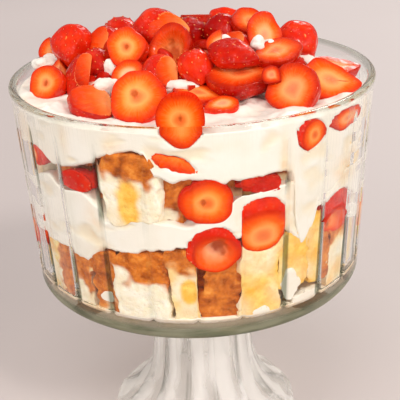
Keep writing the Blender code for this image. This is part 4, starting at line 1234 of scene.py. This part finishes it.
def cream_body(name, upper, lower, middle_low, seed, above=None, segments=420, rings=130):
    """A layer of cream: its upper side, what touches the glass, a rounded lower lip and its underside."""
    piece, turn, down = ball(name, segments, rings)
    azimuth = np.degrees(turn)
    flat = np.stack([np.sin(turn), -np.cos(turn), np.zeros(len(turn))], axis=-1)
    ragged = 1.9 * lumpy(flat * 100.0, 12.0, seed, 4, 0.6)
    low = around(lower, azimuth) + ragged
    reach = np.clip(down, 0.0, 1.0)
    top = upper(azimuth, reach)
    edge_top = upper(azimuth, np.ones(len(turn)))
    wall = np.clip((down - 1.0) / 0.45, 0.0, 1.0)
    under = np.clip((down - 1.45) / 0.55, 0.0, 1.0)
    lip = np.clip(under / 0.16, 0.0, 1.0)
    inward = np.clip((under - 0.1) / 0.9, 0.0, 1.0)
    depth = np.where(down <= 1.0, top, edge_top + (low - edge_top) * wall)
    depth_under = low + 2.2 * np.sin(math.pi * np.clip(lip, 0, 1)) - 1.5 * lip
    depth_under = depth_under + (middle_low - depth_under) * ease(0.2, 1.0, inward)
    depth = np.where(down > 1.45, depth_under, depth)
    height = HEIGHT - depth
    radius = np.where(down <= 1.0, reach * room(height), room(height))
    tucked = (room(height) - 3.4 * np.sin(0.5 * math.pi * lip)) * (1.0 - inward)
    radius = np.where(down > 1.45, tucked, radius)
    points = to_bowl(azimuth, radius, height)
    big = lumpy(points, 26.0, seed + 3, 2)
    small = lumpy(points, 7.5, seed + 7, 3)
    loose = np.where(down <= 1.0, 1.0 - ease(0.93, 1.0, reach) * 0.6, 0.0)
    swirl = 1.0 - abs(lumpy(points, 17.0, seed + 13, 2))
    points[:, 2] += loose * (2.4 * big + 1.1 * small + 2.6 * (swirl - 0.7))
    on_wall = (down > 1.0) & (down <= 1.45)
    stretched = points * np.array([0.5, 0.5, 1.0])
    hollow = 1.2 * ease(0.0, 0.9, lumpy(stretched, 10.0, seed + 17, 3)) * on_wall
    hollow *= ease(0.0, 0.15, wall) * (1.0 - ease(0.85, 1.0, wall))
    into = np.where(on_wall, WET - hollow, WET) - pocket(points)
    if above:
        into -= DRAWN_BACK * ease(-0.5, 2.5, around(above, azimuth) - (HEIGHT - points[:, 2]))
    points = press(points, into)
    write_points(piece, points * MM)
    stained = np.zeros(len(points))
    for where, depth_at, wide, tall, amount in STAINS:
        away = ((azimuth - where) / wide) ** 2 + ((HEIGHT - points[:, 2] - depth_at) / tall) ** 2
        stained = np.maximum(stained, amount * np.exp(-away) * (down > 0.97))
    stained = stained * (0.75 + 0.5 * small)
    note(piece, "stain", np.clip(stained, 0, 1))
    # Painted shade: where the cream lifts off the glass, and in the valleys of its top
    fold_shade = np.where(on_wall, ease(0.0, 1.1, hollow), 0.45 * ease(0.15, 1.1, 0.9 - swirl - 0.5 * small))
    note(piece, "fold_shade", fold_shade)
    # Juice stain under the heap, also painted shade between the pieces
    away = np.hypot(points[:, 0], points[:, 1]) / around(MOUND_REACH, azimuth)
    covered = (1.0 - ease(0.72, 0.92, away + 0.10 * small)) * (down < 0.95)
    note(piece, "juice_and_shade", np.clip(covered * (0.72 + 0.5 * bumps(points, 11.0, seed + 21)), 0, 1))
    smooth(piece)
    return piece


def middle_surface(azimuth, reach):
    outer = around(MIDDLE_CREAM_TOP, azimuth)
    return MIDDLE_SURFACE + (outer - MIDDLE_SURFACE) * reach ** 3


def cream_lump(name, segments, rings, size):
    """A ball of cream of a size, before it is roughened."""
    lump, _, _ = ball(name, segments, rings)
    return lump, read_points(lump) * np.array(size)


def laid(lump, points, into, stain):
    """Writes a lump's points, held inside the bowl, and notes its looks."""
    write_points(lump, press(points, into) * MM)
    note(lump, "stain", np.zeros(len(points)) + stain)
    for look in ("juice_and_shade", "fold_shade"):
        note(lump, look, np.zeros(len(points)))
    smooth(lump)
    return lump


def make_cream(material):
    top = cream_body("shown_cream_top", surface_depth, TOP_CREAM_EDGE, 27.0, 300)
    finished(top, material, "cream", "cream_top")
    middle = cream_body("shown_cream_middle", middle_surface, MIDDLE_CREAM_EDGE, 76.0, 340, TOP_CREAM_EDGE)
    finished(middle, material, "cream", "cream_middle")
    dabs = []
    for number, (azimuth, depth, wide, tall) in enumerate(DABS):
        dab, points = cream_lump("dab", 48, 32, (0.5 * wide, 5.0, 0.5 * tall))
        points *= (1.0 + 0.35 * lumpy(points + 50.0 * number, 6.0, 410 + number, 3))[:, None]
        height = HEIGHT - depth + points[:, 2]
        radius = inner_radius(height) - points[:, 1] - 2.0
        points = to_bowl(azimuth + np.degrees(points[:, 0] / DAB_ARC), radius, height)
        dabs.append(laid(dab, points, WET, 0.15))
    for number, (names, up, size) in enumerate(CREAM_BETWEEN):
        dab, points = cream_lump("dab", 40, 26, 0.5 * np.array(size))
        points *= (1.0 + 0.30 * lumpy(points + 40.0 * number, 5.0, 480 + number, 3))[:, None]
        points += np.mean([middle_of(name) for name in names], axis=0) + np.array([0.0, 0.0, up])
        dabs.append(laid(dab, points, np.full(len(points), LOOSE), 0.0))
    smear, points = cream_lump("smear", 96, 24, (SMEAR_RADIUS, SMEAR_RADIUS, 1.0))
    middle = HEIGHT - FLOOR_DEPTH + 1.5
    points[:, 2] = middle + 2.4 * np.sign(points[:, 2]) * abs(points[:, 2]) ** 0.2
    points[:, 2] += 0.5 * lumpy(points, 16.0, 460, 2) * (points[:, 2] > middle)
    into = np.full(len(points), WET + 0.15)
    points = press(points, into)
    dabs.append(laid(smear, points, into, np.clip(0.5 + 0.5 * lumpy(points, 15.0, 470, 2), 0, 1)))
    finished(join(dabs, "cream_dabs"), material, "cream")


# ---- cake ----
# Chunks: azimuth, depth of the middle, width, height, thickness, turn, crust side, how much crust,
# yellowness, how far it reaches to the glass
UPPER_CHUNKS = (
    (-20.0, 35.5, 31.0, 42.0, 34.0, -5, "top", 0.30, 0.08, WET),
    (-7.5, 43.0, 18.0, 26.0, 26.0, 4, "front", 0.75, 0.1, -4.5),
    (8.0, 42.0, 26.0, 22.0, 24.0, 0, "top", 0.3, 0.5, -9.0),
    (24.0, 41.0, 26.0, 20.0, 24.0, 3, "front", 0.5, 0.6, -7.0),
    (-68.0, 35.0, 26.0, 30.0, 24.0, 3, "none", 0.0, 0.35, DRY),
    (-42.0, 37.0, 34.0, 22.0, 22.0, -3, "front", 0.6, 0.3, -8.0),
    (62.0, 37.0, 22.0, 20.0, 22.0, 3, "none", 0.0, 0.5, DRY),
    (79.0, 38.0, 24.0, 22.0, 22.0, -3, "top", 0.3, 0.5, DRY),
    (-84.0, 38.0, 24.0, 22.0, 22.0, 3, "top", 0.3, 0.4, DRY),
)
LOWER_CHUNKS = (
    (-18.6, 95.5, 29.5, 45.0, 32.0, 2, "top", 0.40, 0.05, WET),
    (-5.6, 94.5, 15.0, 47.0, 30.0, -3, "top", 0.26, 0.45, DRY),
    (7.2, 94.0, 19.5, 50.0, 30.0, 3, "front", 0.85, 0.2, -2.2),
    (18.8, 93.0, 21.5, 50.0, 30.0, -3, "none", 0.0, 0.68, WET),
    (30.8, 86.0, 19.0, 36.0, 30.0, 3, "none", 0.0, 0.85, DRY),
    (41.5, 84.5, 19.0, 44.0, 30.0, -2, "side", 0.35, 0.75, DRY),
    (53.0, 94.0, 20.0, 40.0, 30.0, 2, "top", 0.3, 0.5, DRY),
    (-31.8, 97.0, 13.5, 42.0, 26.0, -4, "front", 0.7, 0.3, DRY),
    (-42.0, 99.0, 17.0, 38.0, 28.0, 3, "front", 0.6, 0.35, DRY),
    (-54.0, 100.0, 20.0, 36.0, 28.0, -2, "side", 0.5, 0.3, DRY),
)
# Yellow places on the glass: azimuth, depth, half width in degrees, half height, strength
YELLOW = (
    (-20.5, 44.0, 3.4, 14.0, 1.0), (-3.6, 97.0, 2.4, 10.0, 1.0), (-0.8, 96.0, 1.0, 20.0, 0.7),
    (18.5, 84.0, 3.0, 14.0, 0.5), (13.0, 98.0, 0.8, 18.0, 0.6),
)


CHUNK_ARC = 92.0                    # radius along which a chunk's width is laid out
CHUNK_STEP_ARC = 98.0               # and along which the next one's place is counted


def torn_chunk(wide, high, thick, side, amount, yolk, seed, grain):
    """A torn block of cake standing at the middle, its -Y side to the glass."""
    nothing_selected()
    bpy.ops.mesh.primitive_cube_add(size=1.0, scale=(wide * MM, thick * MM, high * MM))
    chunk = added("chunk")
    bpy.ops.object.transform_apply(scale=True)
    apply_modifier(chunk, "soft edges", "BEVEL", width=0.2 * min(wide, high) * MM, segments=3)
    apply_modifier(chunk, "even mesh", "REMESH", mode="VOXEL", voxel_size=grain * MM)
    points = read_points(chunk) / MM
    x, _, z = (points / np.array([wide, thick, high])).T
    wander = 0.16 * lumpy(points, 9.0, seed + 1, 3)
    if side == "top":
        crust = ease(0.5 - amount - 0.07, 0.5 - amount + 0.07, z + wander + 0.10 * x)
    elif side == "front":
        crust = ease(-0.07, 0.07, amount - 0.5 + 0.35 * z + 1.9 * wander)
    elif side == "side":
        crust = ease(0.5 - amount - 0.07, 0.5 - amount + 0.07, x + wander)
    else:
        crust = np.zeros(len(points))
    yellow = np.clip(yolk + 0.55 * lumpy(points, 12.0, seed + 9, 2), 0.0, 1.0) * ease(0.0, 0.3, yolk)
    shift = np.stack([lumpy(points, 20.0, seed + 20 + axis, 3) for axis in range(3)], axis=-1)
    normals = normals_of(chunk)
    rough = 1.3 * lumpy(points, 5.0, seed + 30, 3) * (0.6 + 0.9 * crust)
    points = points + shift * np.array([2.6, 1.5, 2.8]) + normals * rough[:, None]
    return chunk, points, crust, yellow


def set_chunk(row, seed, grain):
    """A chunk pushed to its place against the glass."""
    azimuth, depth, wide, high, thick, turn, side, amount, yolk, into = row
    chunk, points, crust, yellow = torn_chunk(wide, high, thick, side, amount, yolk, seed, grain)
    spin = np.array(Matrix.Rotation(math.radians(turn), 3, "Y"))
    points = points @ spin.T
    centre = inner_radius(HEIGHT - depth) - 0.5 * thick + 2.5 + min(into, 0.0)
    height = HEIGHT - depth + points[:, 2]
    radius = centre - points[:, 1]
    points = to_bowl(azimuth + np.degrees(points[:, 0] / CHUNK_ARC), radius, height)
    into = into - pocket(points)
    points = press(points, into)
    write_points(chunk, points)
    normals = normals_of(chunk)
    pores = ease(0.25, 0.8, bumps(points, 1.9, seed + 50))
    pores += 0.8 * ease(0.3, 0.9, bumps(points, 3.7, seed + 51))
    points = points - normals * (0.6 * pores)[:, None]
    points = press(points, into)
    write_points(chunk, points * MM)
    for where, depth_at, half, tall, strength in YELLOW:
        away = ((azimuth_of(points) - where) / half) ** 2 + ((HEIGHT - points[:, 2] - depth_at) / tall) ** 2
        patch = ease(0.15, 0.6, np.exp(-away) + 0.25 * bumps(points, 6.0, seed))
        yellow = np.maximum(yellow, strength * patch)
    # Painted shade, deeper the further the cake lies from the glass
    back = ease(20.0, 34.0, room(points[:, 2]) - np.hypot(points[:, 0], points[:, 1]))
    note(chunk, "crust", crust)
    note(chunk, "yolk", yellow)
    note(chunk, "deep", 0.8 * back)
    smooth(chunk)
    return chunk


def more_chunks(start, end, middle, tall, seed):
    """Chunks for the rest of a layer, round the back."""
    pick = random.Random(seed)
    rows = []
    azimuth = start
    while azimuth < end:
        wide = pick.uniform(20.0, 34.0)
        step = math.degrees(wide / CHUNK_STEP_ARC)
        side = pick.choice(("top", "front", "side", "none", "top"))
        turned = (azimuth + step / 2 + 180.0) % 360.0 - 180.0
        rows.append((turned, middle + pick.uniform(-2, 2), wide, tall + pick.uniform(-2, 4), 28.0,
                     pick.uniform(-6, 6), side, pick.uniform(0.25, 0.6), pick.uniform(0.05, 0.8), DRY))
        azimuth += step + pick.uniform(0.2, 1.2)
    return rows


def cake_core(name, top, low, radius, seed):
    """The cake further in, painted dark as shade, seen only as darkness between the chunks."""
    core, turn, down = ball(name, 96, 40)
    height = HEIGHT - top + (top - low) * np.clip((down - 0.8) / 0.4, 0.0, 1.0)
    reach = np.where(down < 0.8, down / 0.8, np.where(down > 1.2, (2.0 - down) / 0.8, 1.0))
    points = to_bowl(np.degrees(turn), radius * reach, height)
    points *= (1.0 + 0.03 * lumpy(points, 14.0, seed, 3))[:, None]
    write_points(core, points * MM)
    note(core, "crust", np.full(len(points), 0.6))
    note(core, "yolk", np.full(len(points), 0.3))
    note(core, "deep", np.full(len(points), 0.8))
    smooth(core)
    return core


def make_cake(material):
    front = [set_chunk(row, 500 + 60 * n, 1.0) for n, row in enumerate(UPPER_CHUNKS)]
    rest = [set_chunk(row, 900 + 60 * n, 1.6)
            for n, row in enumerate(more_chunks(92.0, 268.0, 38.0, 18.0, 5))]
    core = cake_core("core", 30.0, 50.0, 74.0, 77)
    finished(join(front + [core], "shown_cake_upper"), material, "cake", "cake_upper")
    finished(join(rest, "upper_cake_round_the_back"), material, "cake")
    front = [set_chunk(row, 2000 + 60 * n, 1.1) for n, row in enumerate(LOWER_CHUNKS)]
    rest = [set_chunk(row, 3000 + 60 * n, 1.7)
            for n, row in enumerate(more_chunks(60.0, 298.0, 95.0, 44.0, 8))]
    core = cake_core("core", 80.0, 116.0, 72.0, 78)
    finished(join(front + [core], "shown_cake_lower"), material, "cake", "cake_lower")
    finished(join(rest, "lower_cake_round_the_back"), material, "cake")


# ---- the heap at the back ----
MOST_AT_BACK = 54
BACK_GAP = 12.5


def make_back_heap(material):
    """The many pieces behind the ones in front, tumbled over the mound."""
    pick = random.Random(21)
    spots, pieces = [], []
    for _ in range(4000):
        if len(spots) == MOST_AT_BACK:
            break
        azimuth = pick.uniform(96.0, 262.0)
        reach = pick.uniform(0.12, 0.98)
        radius = float(around(MOUND_REACH, azimuth)) * reach
        share = radius / inner_radius(HEIGHT)
        height = HEIGHT - float(surface_depth(np.array([azimuth]), np.array([share]))[0])
        spot = to_bowl(azimuth, radius, height + 4.0 - 3.0 * (1.0 - reach))
        if any(np.linalg.norm(spot - other) < BACK_GAP for other in spots):
            continue
        spots.append(spot)
    for number, spot in enumerate(spots):
        shape = pick.choice(("round", "heart", "half", "dome", "dome", "whole", "cup", "wedge", "round"))
        width = pick.uniform(16.0, 23.0)
        length = width * pick.uniform(1.0, 1.3) if shape != "round" else width
        thickness = {"round": 7.5, "heart": 6.5, "whole": width}.get(shape, 0.47 * width)
        core = 0.4 * thickness if shape == "cup" else 0.0
        fruit = Fruit("back_piece", shape, width, length, thickness, 600 + number, 48, 36, core=core,
                      tone=pick.uniform(0.1, 0.8), pale=pick.uniform(0.1, 0.7),
                      hole=(0, 0, pick.choice((0, 0, 0.12))))
        outward = math.degrees(math.atan2(spot[0], -spot[1]))
        lie = np.array(lie_of(outward + pick.uniform(-60, 60), pick.uniform(15, 65), pick.uniform(0, 360)))
        points, seeds = fruit.pit(fruit.points @ lie.T + spot, *BACK_SEEDS)
        tip = lie @ np.array([0.0, -1.0, 0.0])
        SEED_SPOTS.extend((at, normal, tip) for at, normal in seeds)
        fruit.close_up(press(points, np.full(len(points), LOOSE)))
        pieces.append(fruit.piece)
    finished(join(pieces, "shown_berry_heap"), material, "berry_skin", "berry_heap")


# ---- setting ----
def soft_light(name, place, size, power, colour, glints=True):
    lamp = bpy.data.lights.new(name, "AREA")
    lamp.size = size
    lamp.energy = power
    lamp.color = colour
    holder = bpy.data.objects.new(name, lamp)
    bpy.context.scene.collection.objects.link(holder)
    holder.location = place
    holder.visible_glossy = glints
    aim = Vector((0.0, 0.0, 0.19)) - Vector(place)
    holder.rotation_euler = aim.to_track_quat("-Z", "Y").to_euler()


def make_setting():
    nothing_selected()
    bpy.ops.mesh.primitive_plane_add(size=9.0)
    table = added("table_top")
    table.data.materials.append(floor_material())
    world = bpy.data.worlds.new("studio")
    bpy.context.scene.world = world
    world.use_nodes = True
    background = world.node_tree.nodes["Background"]
    background.inputs["Color"].default_value = (0.95, 0.88, 0.84, 1.0)
    background.inputs["Strength"].default_value = 0.32
    soft_light("key", (1.7, -2.2, 2.6), 0.55, 45.0, (1.0, 0.96, 0.91))
    soft_light("above", (-0.3, -0.5, 2.8), 1.4, 24.0, (1.0, 0.97, 0.94), glints=False)
    soft_light("fill", (-2.4, -2.0, 1.6), 1.8, 47.0, (1.0, 0.96, 0.93), glints=False)
    soft_light("right", (2.4, -1.7, 1.6), 1.8, 28.0, (1.0, 0.97, 0.94), glints=False)
    soft_light("front", (0.4, -3.0, 1.2), 2.0, 15.0, (1.0, 0.97, 0.94), glints=False)
    soft_light("behind", (1.0, 2.2, 2.2), 0.9, 24.0, (1.0, 0.97, 0.95))
    bpy.context.scene.view_settings.view_transform = "Standard"


FOCAL_LENGTH = 79.2
CAMERA_PLACE = (0.0, -0.5103, 0.3765)
CAMERA_SWING, CAMERA_TILT, CAMERA_ROLL = -0.21, 66.1, -2.26


def make_camera():
    lens = bpy.data.cameras.new("camera")
    lens.lens = FOCAL_LENGTH
    lens.sensor_width = 36.0
    camera = bpy.data.objects.new("camera", lens)
    bpy.context.scene.collection.objects.link(camera)
    turn = (Matrix.Rotation(math.radians(CAMERA_SWING), 4, "Z")
            @ Matrix.Rotation(math.radians(CAMERA_TILT), 4, "X")
            @ Matrix.Rotation(math.radians(CAMERA_ROLL), 4, "Z"))
    camera.matrix_world = Matrix.Translation(CAMERA_PLACE) @ turn
    bpy.context.scene.camera = camera


make_camera()
make_setting()
bowl = make_bowl()
finished(bowl, glass_material(), "glass", "bowl")
pattern = berry_pattern()
strawberry = berry_material("strawberry", pattern, 1.0)
make_fruit(strawberry, berry_material("strawberry_on_glass", pattern, 0.0))
make_back_heap(strawberry)
make_chopped(strawberry)
make_seeds(seed_material())
make_cream(cream_material())
make_cake(cake_material())
